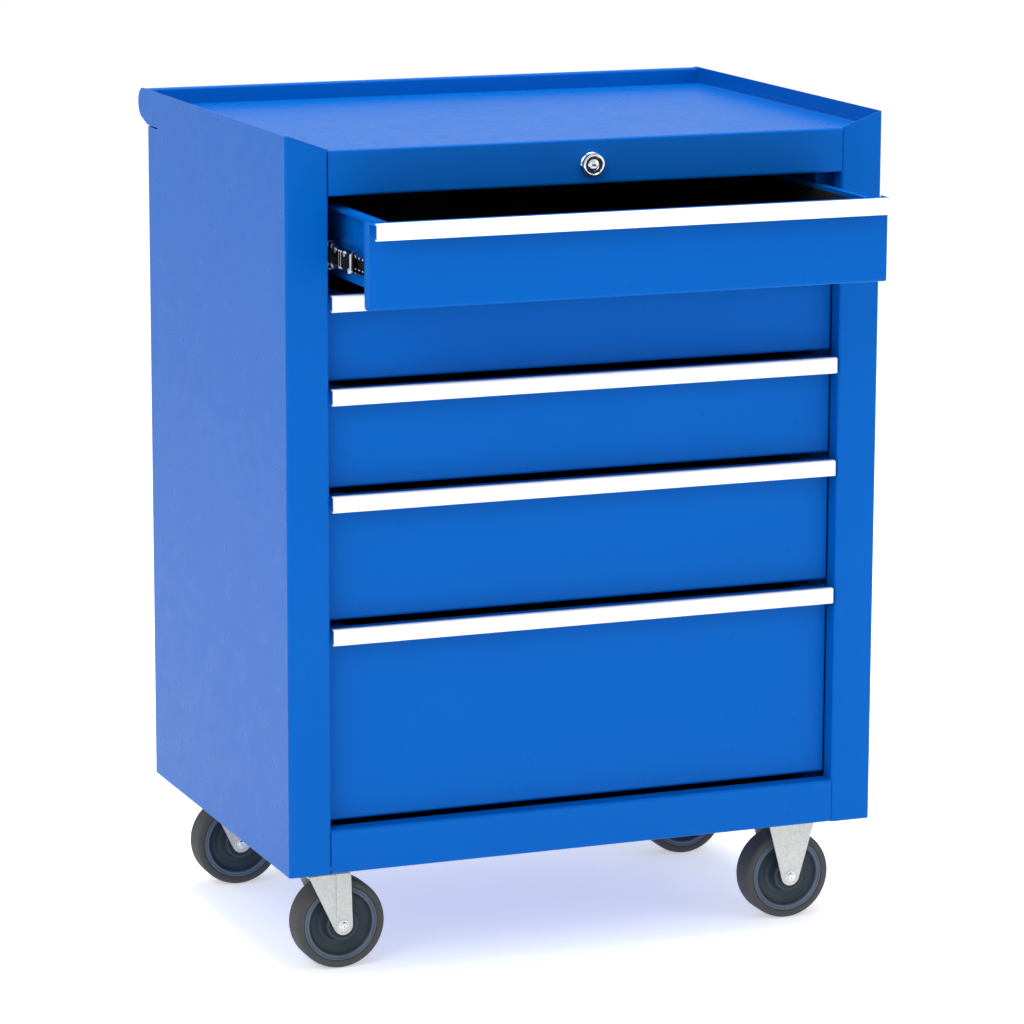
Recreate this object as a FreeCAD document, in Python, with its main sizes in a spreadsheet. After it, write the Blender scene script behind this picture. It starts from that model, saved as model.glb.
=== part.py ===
"""Rolling tool chest: a folded sheet-metal cabinet with five drawers on ball-bearing slides,
a push handle rolled across the back, a central lock and four casters.

Millimetres, +Z up, +Y towards the back. The origin is on the floor, under the middle of the
chest as it stands with its top drawer part open.
"""
import FreeCAD, Part
import os
import re

import Sketcher

# ----------------------------------------------------------------------------------------
# Driving dimensions
# ----------------------------------------------------------------------------------------

DIMENSIONS = {
    # cabinet shell
    "body_width": (680, "across the outer faces of the side panels"),
    "body_depth": (476, "front face of the posts to the rear flanges"),
    "shell_height": (788, "lower edge of the shell to the rim"),
    "sheet": (1.2, "thickness of the shell's sheet"),
    "bend_radius": (2, "inside radius of the shell's bends"),
    "post_width": (47, "front posts, folded from the side panels"),
    "post_return": (20, "depth of the posts' inner return"),
    "rear_flange": (25, "width of the side panels' rear flanges"),
    "slit_drop": (41, "rim to the slit that ends the rear flange"),
    "slit_gap": (1.5, "height of that slit"),
    "slit_reach": (37, "how far the slit runs forward of the back"),
    "handle_offset": (17, "centre of the rolled handle behind the back"),
    "handle_radius": (16, "outside radius of the rolled handle"),
    "handle_wall": (6, "handle's front wall, forward of the roll's centre"),
    "handle_curl": (17, "length of the handle's lower curl"),
    "handle_flat": (0.5, "half of the short flats left between the handle's bends"),
    "lobe_margin": (0.8, "end lobes, proud of the rolled handle"),
    "lobe_angle": (70, "where a lobe's lower edge meets its round end, degrees"),
    "rail_drop": (16, "rim to the top of the front top rail"),
    "rail_height": (48, "height of the front top rail"),
    "rail_depth": (10, "depth of the top rail's upper return"),
    "rail_return": (14, "depth of the rails' other returns"),
    "tray_step": (3, "top rail down to the tray floor"),
    "tray_flange": (7, "height of the tray's side upstands"),
    "bottom_rail": (48, "height of the front bottom rail"),
    "base_recess": (6, "lower edge of the shell up to the base panel"),
    "notch_play": (0.5, "base panel's notches round the posts' returns"),
    "overrun": (1, "how far a cut runs past the face it starts from"),
    # drawers
    "drawer_gap": (5.5, "gap below the lowest drawer front and between the others"),
    "drawer_gap_second": (1, "gap between the second drawer front and the top one"),
    "drawer_gap_top": (11, "gap above the top drawer front"),
    "front_height_1": (91.5, "top drawer front"),
    "front_height_2": (93, "second drawer front"),
    "front_height_3": (108, "third drawer front"),
    "front_height_4": (137, "fourth drawer front"),
    "side_gap": (2.5, "drawer front to post"),
    "front_setback": (18.7, "drawer fronts behind the face of the posts"),
    "front_return": (15, "depth of the fronts' side and lower returns"),
    "lip_drop": (11, "height of the handle lip's downturned edge"),
    "trim_stand": (3, "handle trim, proud of the posts"),
    "trim_height": (17.5, "height of the handle trim"),
    "trim_sheet": (1.5, "wall of the handle trim"),
    "trim_leg": (6, "depth of the handle trim's two legs"),
    "trim_inset": (0.5, "handle trim, short of each end of the front"),
    "trim_bend": (0.5, "inside radius of the trim's bends"),
    "box_sheet": (1, "thickness of the drawer boxes' sheet"),
    "box_rise": (13, "lower edge of the front up to the box's floor"),
    "box_drop": (3, "top of the front down to the box's rim"),
    "hem_width": (8, "outward hem along the top of the box"),
    "hem_height": (4, "downturned edge of that hem"),
    "rear_space": (35, "back of the drawer boxes to the back"),
    "top_drawer_opening": (135, "how far the top drawer stands open"),
    # slides
    "slide_setback": (10.8, "slides inward of the posts' inner edge"),
    "slide_width": (12.7, "space for a slide beside a drawer box"),
    "slide_height": (30, "height of a slide's outer member"),
    "slide_length": (400, "length of each slide member"),
    "slide_gap": (2.3, "front's return to the front end of the slide"),
    "slide_rise": (36.5, "lower edge of the front up to the slide's centre"),
    "slide_sheet": (1.2, "thickness of the slide members"),
    "member_step": (2.4, "height lost at each side from member to member"),
    "middle_inset": (2.6, "middle member's web inward of the outer member's"),
    "slide_bend": (0.6, "inside radius of the slide members' bends"),
    "outer_gap": (3.5, "outer member's lips, short of the drawer box"),
    "middle_gap": (2.5, "middle member's lips, short of the drawer box"),
    "inner_gap": (1, "inner member's lips, short of the middle member's web"),
    "upright_width": (36, "width of the uprights that carry the slides"),
    "upright_inset": (8, "uprights inside the ends of the slides"),
    # lock
    "lock_drop": (27, "top of the top rail down to the lock's axis"),
    "lock_flange_radius": (13, "face flange of the lock"),
    "lock_flange": (9, "thickness of that flange"),
    "barrel_radius": (10, "barrel of the lock"),
    "barrel_length": (22, "length of the barrel behind the rail's face"),
    "plug_radius": (7, "turning plug of the lock"),
    "plug_recess": (1, "plug's face behind the flange's face"),
    "key_width": (4.6, "key slot's width"),
    "key_height": (2, "key slot's height"),
    "nut_radius": (15, "lock nut"),
    "nut_thickness": (4, "lock nut"),
    "shaft_radius": (3, "lock shaft"),
    "crank_radius": (13, "crank disc at the shaft's rear end"),
    "crank_sheet": (3, "thickness of the crank disc"),
    "crank_gap": (1.5, "crank disc to the lock bar"),
    "crank_throw": (9, "crank pin's distance from the shaft's axis"),
    "pin_radius": (2.5, "crank pin"),
    "pin_clearance": (0.7, "crank pin in the bar's slot, each side"),
    "bar_clearance": (5, "back of the drawer boxes to the lock bar"),
    "bar_width": (20, "lock bar"),
    "bar_sheet": (3, "thickness of the lock bar"),
    "bar_edge": (3, "metal above and beside the crank pin's slot"),
    "bar_foot": (5, "metal below the crank pin's slot"),
    "catch_gap": (2.5, "catch finger below the drawer's floor, unlocked"),
    "catch_finger": (11, "height of a catch finger"),
    "catch_width": (14, "width of a catch finger"),
    "catch_reach": (12, "catch finger forward of the lock bar"),
    "catch_sheet": (2.5, "thickness of a catch finger"),
    "catch_play": (2.5, "room around a catch finger in its slot"),
    "guide_height": (12, "height of a lock bar guide"),
    "guide_wall": (1.2, "wall of a lock bar guide in front of the bar"),
    "guide_play": (0.5, "lock bar in its guides"),
    "guide_ear": (6, "guides, wider than the bar at each side"),
    "guide_drop": (20, "top of a drawer front down to the guide behind it"),
    "hanger_half": (12, "half width of the shaft's hanger"),
    "hanger_sheet": (3, "thickness of the hanger"),
    "hanger_inset": (17, "hanger, forward of the drawer boxes' backs"),
    "hanger_foot": (9, "shaft's axis down to the hanger's lower edge"),
    # casters
    "caster_height": (128, "floor to the casters' plates"),
    "wheel_radius": (50, "tyre"),
    "wheel_width": (32, "tyre"),
    "tyre_inner": (41.5, "radius of the tyre's seat"),
    "tyre_chamfer": (2.5, "edge of the tyre's tread"),
    "rim_inner": (36, "inside radius of the wheel's rim"),
    "rim_setback": (1.5, "rim behind the tyre's side"),
    "web_width": (9, "thickness of the wheel's web"),
    "hub_radius": (17.5, "wheel's hub"),
    "hub_width": (40, "wheel's hub"),
    "axle_radius": (4.5, "caster axles"),
    "axle_head_radius": (6, "heads of the caster axles"),
    "axle_head": (3, "thickness of those heads"),
    "running_clearance": (0.05, "radial clearance of a turning fit"),
    "leg_gap": (1, "hub's end to the bracket's leg"),
    "caster_sheet": (2.5, "thickness of the caster brackets"),
    "plate_length": (92, "caster plates, along X"),
    "plate_width": (86, "caster plates, along Y"),
    "plate_sheet": (3, "thickness of the caster plates"),
    "bolt_spacing_x": (74, "caster bolts"),
    "bolt_spacing_y": (66, "caster bolts"),
    "bolt_radius": (4, "shank of the caster bolts"),
    "bolt_clearance": (0.25, "radial clearance of the caster bolts' holes"),
    "bolt_head_radius": (6.2, "corner radius of the hexagon heads and nuts"),
    "bolt_head": (5, "height of the hexagon heads and nuts"),
    "bolt_end": (2, "bolt's end, proud of its nut"),
    "fixed_leg_width": (62, "top of a fixed bracket's leg"),
    "leg_end_radius": (10.5, "rounded lower end of a leg"),
    "fork_crown_height": (58, "axle up to the top of the swivel fork"),
    "fork_lead": (9.5, "axle to the leading edge of the fork's crown"),
    "fork_tail": (40, "axle to the trailing edge of the fork's crown"),
    "trail": (24, "swivel axis to the axle"),
    "kingpin_radius": (6, "kingpin of a swivel caster"),
    "kingpin_head_radius": (8.5, "kingpin's lower head"),
    "kingpin_head": (2.5, "thickness of that head"),
    "race_radius": (25, "ball race of a swivel caster"),
    "race_height": (8, "fork's half of the ball race"),
    "race_gap": (0.4, "gap between the two halves of the race"),
    "caster_front": (68, "face of the posts to the front caster axis"),
    "swivel_rear": (60, "back to the rear swivel axis"),
    "fixed_rear": (125, "back to the rear fixed caster's axis"),
    "fixed_inset": (74, "side panel to the fixed casters' axis"),
    "swivel_inset": (52, "side panel to the swivel axis"),
}

# Values worked out from the driving dimensions
DERIVED = {
    "half_width": "body_width / 2",
    "inner_half": "half_width - sheet",
    "rim_z": "shell_height",
    "rail_top": "shell_height - rail_drop",
    "rail_bottom": "rail_top - rail_height",
    "rail_half": "half_width - post_width",
    "tray_z": "rail_top - tray_step",
    "tray_under": "tray_z - sheet",
    "slit_z": "shell_height - slit_drop",
    "handle_y": "body_depth + handle_offset",
    "lobe_radius": "handle_radius + lobe_margin",
    "lobe_z": "shell_height - lobe_radius",
    "handle_front": "handle_y - handle_wall",
    "handle_back": "handle_y + handle_radius",
    "handle_top": "lobe_z + handle_radius",
    "handle_low": "lobe_z - handle_radius",
    "back_inner": "body_depth - 2 * sheet",
    "base_z": "base_recess",
    "base_top": "base_recess + sheet",
    "shell_lift": "caster_height - base_recess",
    "front_y": "-(handle_y + lobe_radius - top_drawer_opening - trim_stand) / 2",
    "opening_height": "rail_bottom - bottom_rail",
    "front_height_5": "opening_height - 4 * drawer_gap - drawer_gap_second - drawer_gap_top"
                      " - front_height_1 - front_height_2 - front_height_3 - front_height_4",
    "front_z_5": "bottom_rail + drawer_gap",
    "front_z_4": "front_z_5 + front_height_5 + drawer_gap",
    "front_z_3": "front_z_4 + front_height_4 + drawer_gap",
    "front_z_2": "front_z_3 + front_height_3 + drawer_gap",
    "front_z_1": "front_z_2 + front_height_2 + drawer_gap_second",
    "front_half": "rail_half - side_gap",
    "lip_front": "trim_sheet - trim_stand",
    "box_half": "rail_half - slide_setback - slide_width",
    "box_front": "front_setback + sheet",
    "box_back": "body_depth - rear_space",
    "slide_outer": "box_half + slide_width",
    "slide_start": "front_setback + front_return + slide_gap",
    "lock_z": "rail_top - lock_drop",
    "bar_front": "box_back + bar_clearance",
    "pin_offset": "crank_throw * cos(45)",
    "axle_z": "wheel_radius",
    "leg_inner": "hub_width / 2 + leg_gap",
    "leg_outer": "leg_inner + caster_sheet",
    "fixed_leg_top": "caster_height - plate_sheet - axle_z",
    "crown_top": "axle_z + fork_crown_height",
    "plate_under": "caster_height - plate_sheet",
    "fixed_x": "half_width - fixed_inset",
    "swivel_x": "-half_width + swivel_inset",
    "caster_front_y": "front_y + caster_front",
    "swivel_rear_y": "front_y + body_depth - swivel_rear",
    "fixed_rear_y": "front_y + body_depth - fixed_rear",
}

DRAWERS = (1, 2, 3, 4, 5)
CHEST_FRAME = ("0", "front_y", "shell_lift")

doc = FreeCAD.newDocument("RollingToolChest")
dims = doc.addObject("Spreadsheet::Sheet", "Dims")
for row, (alias, (size, note)) in enumerate(DIMENSIONS.items(), start=1):
    dims.set(f"A{row}", note)
    dims.set(f"B{row}", str(size))
    dims.setAlias(f"B{row}", alias)
doc.recompute()

nodes = []


# ----------------------------------------------------------------------------------------
# Expressions
# ----------------------------------------------------------------------------------------

def expand(text):
    """Write a formula of the names above as an expression on the sheet."""
    def swap(match):
        word = match.group(0)
        if word in DERIVED:
            return "(" + expand(DERIVED[word]) + ")"
        if word in DIMENSIONS:
            return "Dims." + word
        return word
    return re.sub(r"[A-Za-z_][A-Za-z_0-9]*", swap, str(text))


def number(text):
    """The present value of a formula."""
    return float(dims.evalExpression(expand(text)))


def bind(item, prop, text):
    """Tie a property to a formula."""
    item.setExpression(prop, expand(text))


def move(item, x, y, z):
    """Tie an object's position to three formulas."""
    bind(item, "Placement.Base.x", x)
    bind(item, "Placement.Base.y", y)
    bind(item, "Placement.Base.z", z)


def node(item, label, x, y, z):
    """Make an object a finished sub-part: its label, its place, and a seat on the list."""
    item.Label = label
    move(item, x, y, z)
    nodes.append(item)
    return item


# ----------------------------------------------------------------------------------------
# Solids
# ----------------------------------------------------------------------------------------

def block(name, x, y, z):
    """A box between three pairs of formulas."""
    item = doc.addObject("Part::Box", name)
    for prop, (low, high) in zip(("Length", "Width", "Height"), (x, y, z)):
        bind(item, prop, f"({high}) - ({low})")
    move(item, x[0], y[0], z[0])
    return item


TURNS = {
    "X": FreeCAD.Rotation(FreeCAD.Vector(0, 1, 0), 90),
    "Y": FreeCAD.Rotation(FreeCAD.Vector(1, 0, 0), -90),
    "Z": FreeCAD.Rotation(),
}


def rod(name, axis, radius, start, end, across=("0", "0")):
    """A cylinder along an axis; across gives its other two coordinates, in X, Y, Z order."""
    item = doc.addObject("Part::Cylinder", name)
    bind(item, "Radius", radius)
    bind(item, "Height", f"({end}) - ({start})")
    item.Placement = FreeCAD.Placement(FreeCAD.Vector(), TURNS[axis])
    spot = list(across)
    spot.insert("XYZ".index(axis), start)
    move(item, *spot)
    return item


def hexagon(name, radius, start, end, x, y):
    """An upright hexagonal prism."""
    item = doc.addObject("Part::Prism", name)
    item.Polygon = 6
    bind(item, "Circumradius", radius)
    bind(item, "Height", f"({end}) - ({start})")
    move(item, x, y, start)
    return item


def fuse(name, *pieces):
    """Join touching solids into one."""
    item = doc.addObject("Part::MultiFuse", name)
    item.Shapes = list(pieces)
    item.Refine = True
    return item


def cut(name, base, *tools):
    """Take solids away from a base."""
    item = doc.addObject("Part::Cut", name)
    item.Base = base
    item.Tool = tools[0] if len(tools) == 1 else fuse(name + "Tools", *tools)
    return item


def group(name, *pieces):
    """Separate solids that share one node."""
    item = doc.addObject("Part::Compound", name)
    item.Links = list(pieces)
    return item


# ----------------------------------------------------------------------------------------
# Sketched features
# ----------------------------------------------------------------------------------------

NORMALS = {"XY": (0, 0, 1), "XZ": (0, -1, 0), "YZ": (1, 0, 0)}
SAME_PLACE = 0.01     # mm, corners nearer than this are one corner
SHORTEST_BEND = 1     # mm, edges along the plane's axis shorter than this are left sharp


def new_sketch(body, name, plane, start):
    """A sketch on one of the body's own planes, set off along +Z, +Y or +X."""
    sketch = body.newObject("Sketcher::SketchObject", name)
    role = plane + "_Plane"
    base = [item for item in body.Origin.OriginFeatures if item.Role == role][0]
    sketch.AttachmentSupport = [(base, "")]
    sketch.MapMode = "FlatFace"
    sign = "-1 * " if plane == "XZ" else ""
    bind(sketch, "AttachmentOffset.Base.z", f"{sign}({start})")
    return sketch


def polygon(sketch, points):
    """A closed outline whose corners are each tied to two formulas."""
    places = [FreeCAD.Vector(number(u), number(v), 0) for u, v in points]
    count = len(points)
    for i in range(count):
        sketch.addGeometry(Part.LineSegment(places[i], places[(i + 1) % count]), False)
    for i in range(count):
        sketch.addConstraint(Sketcher.Constraint("Coincident", i, 2, (i + 1) % count, 1))
    for i, (u, v) in enumerate(points):
        for kind, text in (("DistanceX", u), ("DistanceY", v)):
            rule = sketch.addConstraint(
                Sketcher.Constraint(kind, -1, 1, i, 1, number(text)))
            sketch.setExpression(f"Constraints[{rule}]", expand(text))


def circle(sketch, u, v, radius):
    """A circle tied to formulas."""
    centre = FreeCAD.Vector(number(u), number(v), 0)
    ring = Part.Circle(centre, FreeCAD.Vector(0, 0, 1), number(radius))
    sketch.addGeometry(ring, False)
    rules = (
        (Sketcher.Constraint("Radius", 0, number(radius)), radius),
        (Sketcher.Constraint("DistanceX", -1, 1, 0, 3, number(u)), u),
        (Sketcher.Constraint("DistanceY", -1, 1, 0, 3, number(v)), v),
    )
    for rule, text in rules:
        place = sketch.addConstraint(rule)
        sketch.setExpression(f"Constraints[{place}]", expand(text))


def extrude(body, kind, sketch, length):
    """Pad or pocket a sketch towards +Z, +Y or +X."""
    item = body.newObject("PartDesign::" + kind, sketch.Name + kind)
    item.Profile = sketch
    bind(item, "Length", length)
    towards_back = "XZ" in sketch.AttachmentSupport[0][0].Role
    item.Reversed = towards_back if kind == "Pad" else not towards_back
    doc.recompute()
    return item


def pad(body, name, plane, points, start, end):
    """Pad a closed outline between two positions along the plane's axis."""
    sketch = new_sketch(body, name, plane, start)
    polygon(sketch, points)
    return extrude(body, "Pad", sketch, f"({end}) - ({start})")


def pocket(body, name, plane, points, start, end):
    """Cut a closed outline out between two positions along the plane's axis."""
    sketch = new_sketch(body, name, plane, start)
    polygon(sketch, points)
    before = body.Tip.Shape.Volume
    item = extrude(body, "Pocket", sketch, f"({end}) - ({start})")
    if item.Shape.Volume >= before:
        raise RuntimeError(name + " cuts nothing")
    return item


def offset_path(path, thickness, side):
    """The other face of a folded sheet: a right-angled path moved to its left or right."""
    places = [(number(u), number(v)) for u, v in path]
    shifts = []
    for (u0, v0), (u1, v1) in zip(places, places[1:]):
        length = abs(u1 - u0) + abs(v1 - v0)
        shifts.append((-side * round((v1 - v0) / length), side * round((u1 - u0) / length)))
    moved = []
    for i, (u, v) in enumerate(path):
        near = {shifts[max(i - 1, 0)], shifts[min(i, len(shifts) - 1)]}
        du = sum(shift[0] for shift in near)
        dv = sum(shift[1] for shift in near)
        moved.append((f"({u}) + ({du}) * ({thickness})", f"({v}) + ({dv}) * ({thickness})"))
    return moved


def edges_at(shape, plane, corners):
    """Names of the straight edges that run through the outline's corners."""
    axis = [abs(value) for value in NORMALS[plane]].index(1)
    flat = [i for i in range(3) if i != axis]
    found = []
    for index, edge in enumerate(shape.Edges, start=1):
        ends = [vertex.Point for vertex in edge.Vertexes]
        if len(ends) != 2 or abs(ends[0][axis] - ends[1][axis]) < SHORTEST_BEND:
            continue
        for u, v in corners:
            if all(abs(end[flat[0]] - u) + abs(end[flat[1]] - v) < SAME_PLACE for end in ends):
                found.append(f"Edge{index}")
    return found


def round_edges(body, name, plane, corners, radius):
    """Fillet the edges that run through some of the outline's corners."""
    places = [(number(u), number(v)) for u, v in corners]
    base = body.Tip
    names = edges_at(base.Shape, plane, places)
    if len(names) < len(corners):
        raise RuntimeError(name + " finds too few edges")
    fillet = body.newObject("PartDesign::Fillet", name)
    fillet.Base = (base, names)
    bind(fillet, "Radius", radius)
    doc.recompute()
    return fillet


def folded(name, plane, path, side, start, end, thickness="sheet", bend="bend_radius"):
    """A folded sheet: one face follows the path, the other is a thickness to one side."""
    body = doc.addObject("PartDesign::Body", name)
    other = offset_path(path, thickness, side)
    pad(body, name + "Profile", plane, path + other[::-1], start, end)
    turns = [number_cross(path, i) for i in range(1, len(path) - 1)]
    outer = [path[i + 1] if turn * side > 0 else other[i + 1] for i, turn in enumerate(turns)]
    inner = [other[i + 1] if turn * side > 0 else path[i + 1] for i, turn in enumerate(turns)]
    round_edges(body, name + "Outer", plane, outer, f"{bend} + {thickness}")
    round_edges(body, name + "Inner", plane, inner, bend)
    return body


def number_cross(path, i):
    """+1 where the path turns left at a corner, -1 where it turns right."""
    (u0, v0), (u1, v1), (u2, v2) = [(number(u), number(v)) for u, v in path[i - 1:i + 2]]
    return 1 if (u1 - u0) * (v2 - v1) - (v1 - v0) * (u2 - u1) > 0 else -1


# ----------------------------------------------------------------------------------------
# Cabinet shell
# ----------------------------------------------------------------------------------------

def side_panel(label, side):
    """Side wall, front post with its return, rear flange, and the lobe that ends the handle."""
    name = label.title().replace("_", "")
    plan = [
        (f"{side} * (half_width - rear_flange)", "body_depth"),
        (f"{side} * half_width", "body_depth"),
        (f"{side} * half_width", "0"),
        (f"{side} * rail_half", "0"),
        (f"{side} * rail_half", "post_return"),
    ]
    body = folded(name, "XY", plan, -side, "0", "rim_z")
    inside = f"{side} * (inner_half - bend_radius)"
    past_post = f"{side} * (rail_half - overrun)"
    slope = [(inside, "rim_z"), (past_post, "rail_top"), (past_post, "rim_z + overrun"),
             (inside, "rim_z + overrun")]
    pocket(body, name + "Slope", "XZ", slope, "-overrun", "post_return + overrun")
    under_tray = [(inside, "tray_under"), (past_post, "tray_under"),
                  (past_post, "rim_z + overrun"), (inside, "rim_z + overrun")]
    pocket(body, name + "Notch", "XZ", under_tray, "sheet", "post_return + overrun")
    behind = [("body_depth - slit_reach", "slit_z"), ("body_depth + overrun", "slit_z"),
              ("body_depth + overrun", "rim_z + overrun"),
              ("body_depth - slit_reach", "rim_z + overrun")]
    outside = f"{side} * (half_width + overrun)"
    past_flange = f"{side} * (half_width - rear_flange - overrun)"
    low = f"min({outside}; {past_flange})"
    high = f"max({outside}; {past_flange})"
    pocket(body, name + "Rear", "YZ", behind, low, high)
    lobe = [("body_depth - slit_reach", "slit_z + slit_gap"),
            ("body_depth", "slit_z + slit_gap"),
            ("handle_y + lobe_radius * cos(lobe_angle)",
             "lobe_z - lobe_radius * sin(lobe_angle)"),
            ("handle_y", "lobe_z"),
            ("handle_y", "rim_z"),
            ("body_depth - slit_reach", "rim_z")]
    wall_low = f"min({side} * half_width; {side} * inner_half)"
    wall_high = f"max({side} * half_width; {side} * inner_half)"
    pad(body, name + "Lobe", "YZ", lobe, wall_low, wall_high)
    end = new_sketch(body, name + "End", "YZ", wall_low)
    circle(end, "handle_y", "lobe_z", "lobe_radius")
    extrude(body, "Pad", end, "sheet")
    return node(body, label, *CHEST_FRAME)


def back_panel():
    """Flat sheet against the inside of the rear flanges."""
    edge = "inner_half - bend_radius"
    panel = block("BackSheet", (f"-({edge})", edge), ("back_inner", "body_depth - sheet"),
                  ("base_z", "tray_under"))
    return node(group("BackPanel", panel), "back_panel", *CHEST_FRAME)


def top_tray():
    """Tray floor between the side panels, with an upstand along each side."""
    path = [("-inner_half", "tray_under + tray_flange"), ("-inner_half", "tray_under"),
            ("inner_half", "tray_under"), ("inner_half", "tray_under + tray_flange")]
    body = folded("TopTray", "XZ", path, 1, "sheet + bend_radius", "handle_front")
    return node(body, "top_tray", *CHEST_FRAME)


def push_handle():
    """Back wall of the tray, rolled over and under to make the push handle."""
    path = [("handle_front", "tray_under"), ("handle_front", "handle_top"),
            ("handle_back", "handle_top"), ("handle_back", "handle_low"),
            ("handle_back - handle_curl", "handle_low")]
    body = doc.addObject("PartDesign::Body", "PushHandle")
    other = offset_path(path, "sheet", -1)
    pad(body, "PushHandleProfile", "YZ", path + other[::-1], "-inner_half", "inner_half")
    roll = "handle_radius - handle_flat"
    round_edges(body, "HandleFront", "YZ", [path[1]], "bend_radius + sheet")
    round_edges(body, "HandleFrontInner", "YZ", [other[1]], "bend_radius")
    round_edges(body, "HandleRoll", "YZ", [path[2], path[3]], roll)
    round_edges(body, "HandleRollInner", "YZ", [other[2], other[3]], roll + " - sheet")
    return node(body, "push_handle", *CHEST_FRAME)


def front_top_rail():
    """Front rail above the drawers, with the hole for the lock."""
    path = [("rail_return", "rail_bottom"), ("0", "rail_bottom"), ("0", "rail_top"),
            ("rail_depth", "rail_top")]
    body = folded("FrontTopRail", "YZ", path, -1, "-rail_half", "rail_half")
    hole = new_sketch(body, "LockHole", "XZ", "-overrun")
    circle(hole, "0", "lock_z", "barrel_radius")
    extrude(body, "Pocket", hole, "sheet + 2 * overrun")
    return node(body, "front_top_rail", *CHEST_FRAME)


def front_bottom_rail():
    """Front rail below the drawers."""
    path = [("rail_return", "0"), ("0", "0"), ("0", "bottom_rail"),
            ("front_setback", "bottom_rail")]
    body = folded("FrontBottomRail", "YZ", path, -1, "-rail_half", "rail_half")
    return node(body, "front_bottom_rail", *CHEST_FRAME)


def base_panel():
    """Floor of the cabinet, notched round the posts and drilled for the caster bolts."""
    floor = block("BaseSheet", ("-inner_half", "inner_half"),
                  ("sheet + bend_radius", "body_depth - sheet - bend_radius"),
                  ("base_z", "base_top"))
    tools = []
    for tag, side in (("Left", -1), ("Right", 1)):
        edges = (f"{side} * rail_half - sheet - notch_play",
                 f"{side} * rail_half + sheet + notch_play")
        tools.append(block("PostNotch" + tag, edges, ("0", "post_return + notch_play"),
                           ("base_z - overrun", "base_top + overrun")))
    for tag, x, y in caster_places():
        for i, (dx, dy) in enumerate(bolt_offsets()):
            tools.append(rod(f"BaseHole{tag}{i}", "Z", "bolt_radius + bolt_clearance",
                             "base_z - overrun", "base_top + overrun",
                             (f"{x} + {dx}", f"{y} - front_y + {dy}")))
    return node(cut("BasePanel", floor, *tools), "base_panel", *CHEST_FRAME)


def slide_uprights():
    """Four channels that carry the slides, one pair on each side panel."""
    rows = (
        ("Front", "slide_start + upright_inset", "slide_start + upright_inset + upright_width"),
        ("Rear", "slide_start + slide_length - upright_inset - upright_width",
         "slide_start + slide_length - upright_inset"),
    )
    pieces = []
    for tag, y0, y1 in rows:
        for hand, side in (("Left", -1), ("Right", 1)):
            path = [(f"{side} * inner_half", y0), (f"{side} * slide_outer", y0),
                    (f"{side} * slide_outer", y1), (f"{side} * inner_half", y1)]
            pieces.append(folded(f"Upright{tag}{hand}", "XY", path, -side,
                                 "base_top", "tray_under"))
    return node(group("SlideUprights", *pieces), "slide_uprights", *CHEST_FRAME)


# ----------------------------------------------------------------------------------------
# Drawers and slides
# ----------------------------------------------------------------------------------------

def opening(number_of_drawer):
    """How far a drawer stands open."""
    return "top_drawer_opening" if number_of_drawer == 1 else "0"


def drawer_frame(i):
    """A drawer's own frame: middle of its width, face of the posts, foot of its front."""
    return "0", f"front_y - {opening(i)}", f"shell_lift + front_z_{i}"


def drawer_box(i):
    """Folded drawer box with an outward hem, and a slot for the lock bar's catch."""
    top = f"front_height_{i} - box_drop"
    x = ("-box_half", "box_half")
    y = ("box_front", "box_back")
    outer = block(f"BoxOuter{i}", x, y, ("box_rise", top))
    inner = block(f"BoxInner{i}", ("-box_half + box_sheet", "box_half - box_sheet"),
                  ("box_front + box_sheet", "box_back - box_sheet"),
                  ("box_rise + box_sheet", top + " + overrun"))
    slot = block(f"CatchSlot{i}",
                 ("-catch_width / 2 - catch_play", "catch_width / 2 + catch_play"),
                 ("bar_front - catch_reach - catch_play",
                  "bar_front - catch_reach + catch_sheet + catch_play"),
                 ("box_rise - overrun", "box_rise + box_sheet + overrun"))
    shell = cut(f"BoxShell{i}", outer, inner, slot)
    hems = []
    for tag, side in (("Left", -1), ("Right", 1)):
        edge = f"{side} * (box_half + hem_width)"
        wall = f"{side} * box_half"
        lip = f"{side} * (box_half + hem_width - box_sheet)"
        start = "front_setback + front_return + sheet"
        hems.append(block(f"HemTop{tag}{i}", (f"min({edge}; {wall})", f"max({edge}; {wall})"),
                          (start, "box_back"), (top + " - box_sheet", top)))
        hems.append(block(f"HemDrop{tag}{i}", (f"min({edge}; {lip})", f"max({edge}; {lip})"),
                          (start, "box_back"), (top + " - hem_height", top)))
    return node(fuse(f"DrawerBox{i}", shell, *hems), f"drawer_box_{i}", *drawer_frame(i))


def drawer_front(i):
    """Pan-shaped front whose top edge is folded forward and down to carry the handle trim."""
    top = f"front_height_{i} - trim_sheet"
    name = f"DrawerFront{i}"
    body = doc.addObject("PartDesign::Body", name)
    outline = [("front_setback + front_return", "sheet"), ("front_setback + sheet", "sheet"),
               ("front_setback + sheet", top), ("lip_front", top),
               ("lip_front", top + " - lip_drop"),
               ("lip_front + sheet", top + " - lip_drop"),
               ("lip_front + sheet", top + " - sheet"), ("front_setback", top + " - sheet"),
               ("front_setback", "0"), ("front_setback + front_return", "0")]
    pad(body, name + "Profile", "YZ", outline, "-front_half", "front_half")
    round_edges(body, name + "Foot", "YZ", [("front_setback", "0")], "bend_radius + sheet")
    round_edges(body, name + "Lip", "YZ", [("lip_front", top)], "bend_radius")
    for tag, side in (("Left", -1), ("Right", 1)):
        edge = f"{side} * front_half"
        face = f"{side} * (front_half - sheet)"
        flange = [(edge, "front_setback"), (face, "front_setback"),
                  (face, "front_setback + front_return"), (edge, "front_setback + front_return")]
        pad(body, name + tag, "XY", flange, "bend_radius", top)
    return node(body, f"drawer_front_{i}", *drawer_frame(i))


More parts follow.
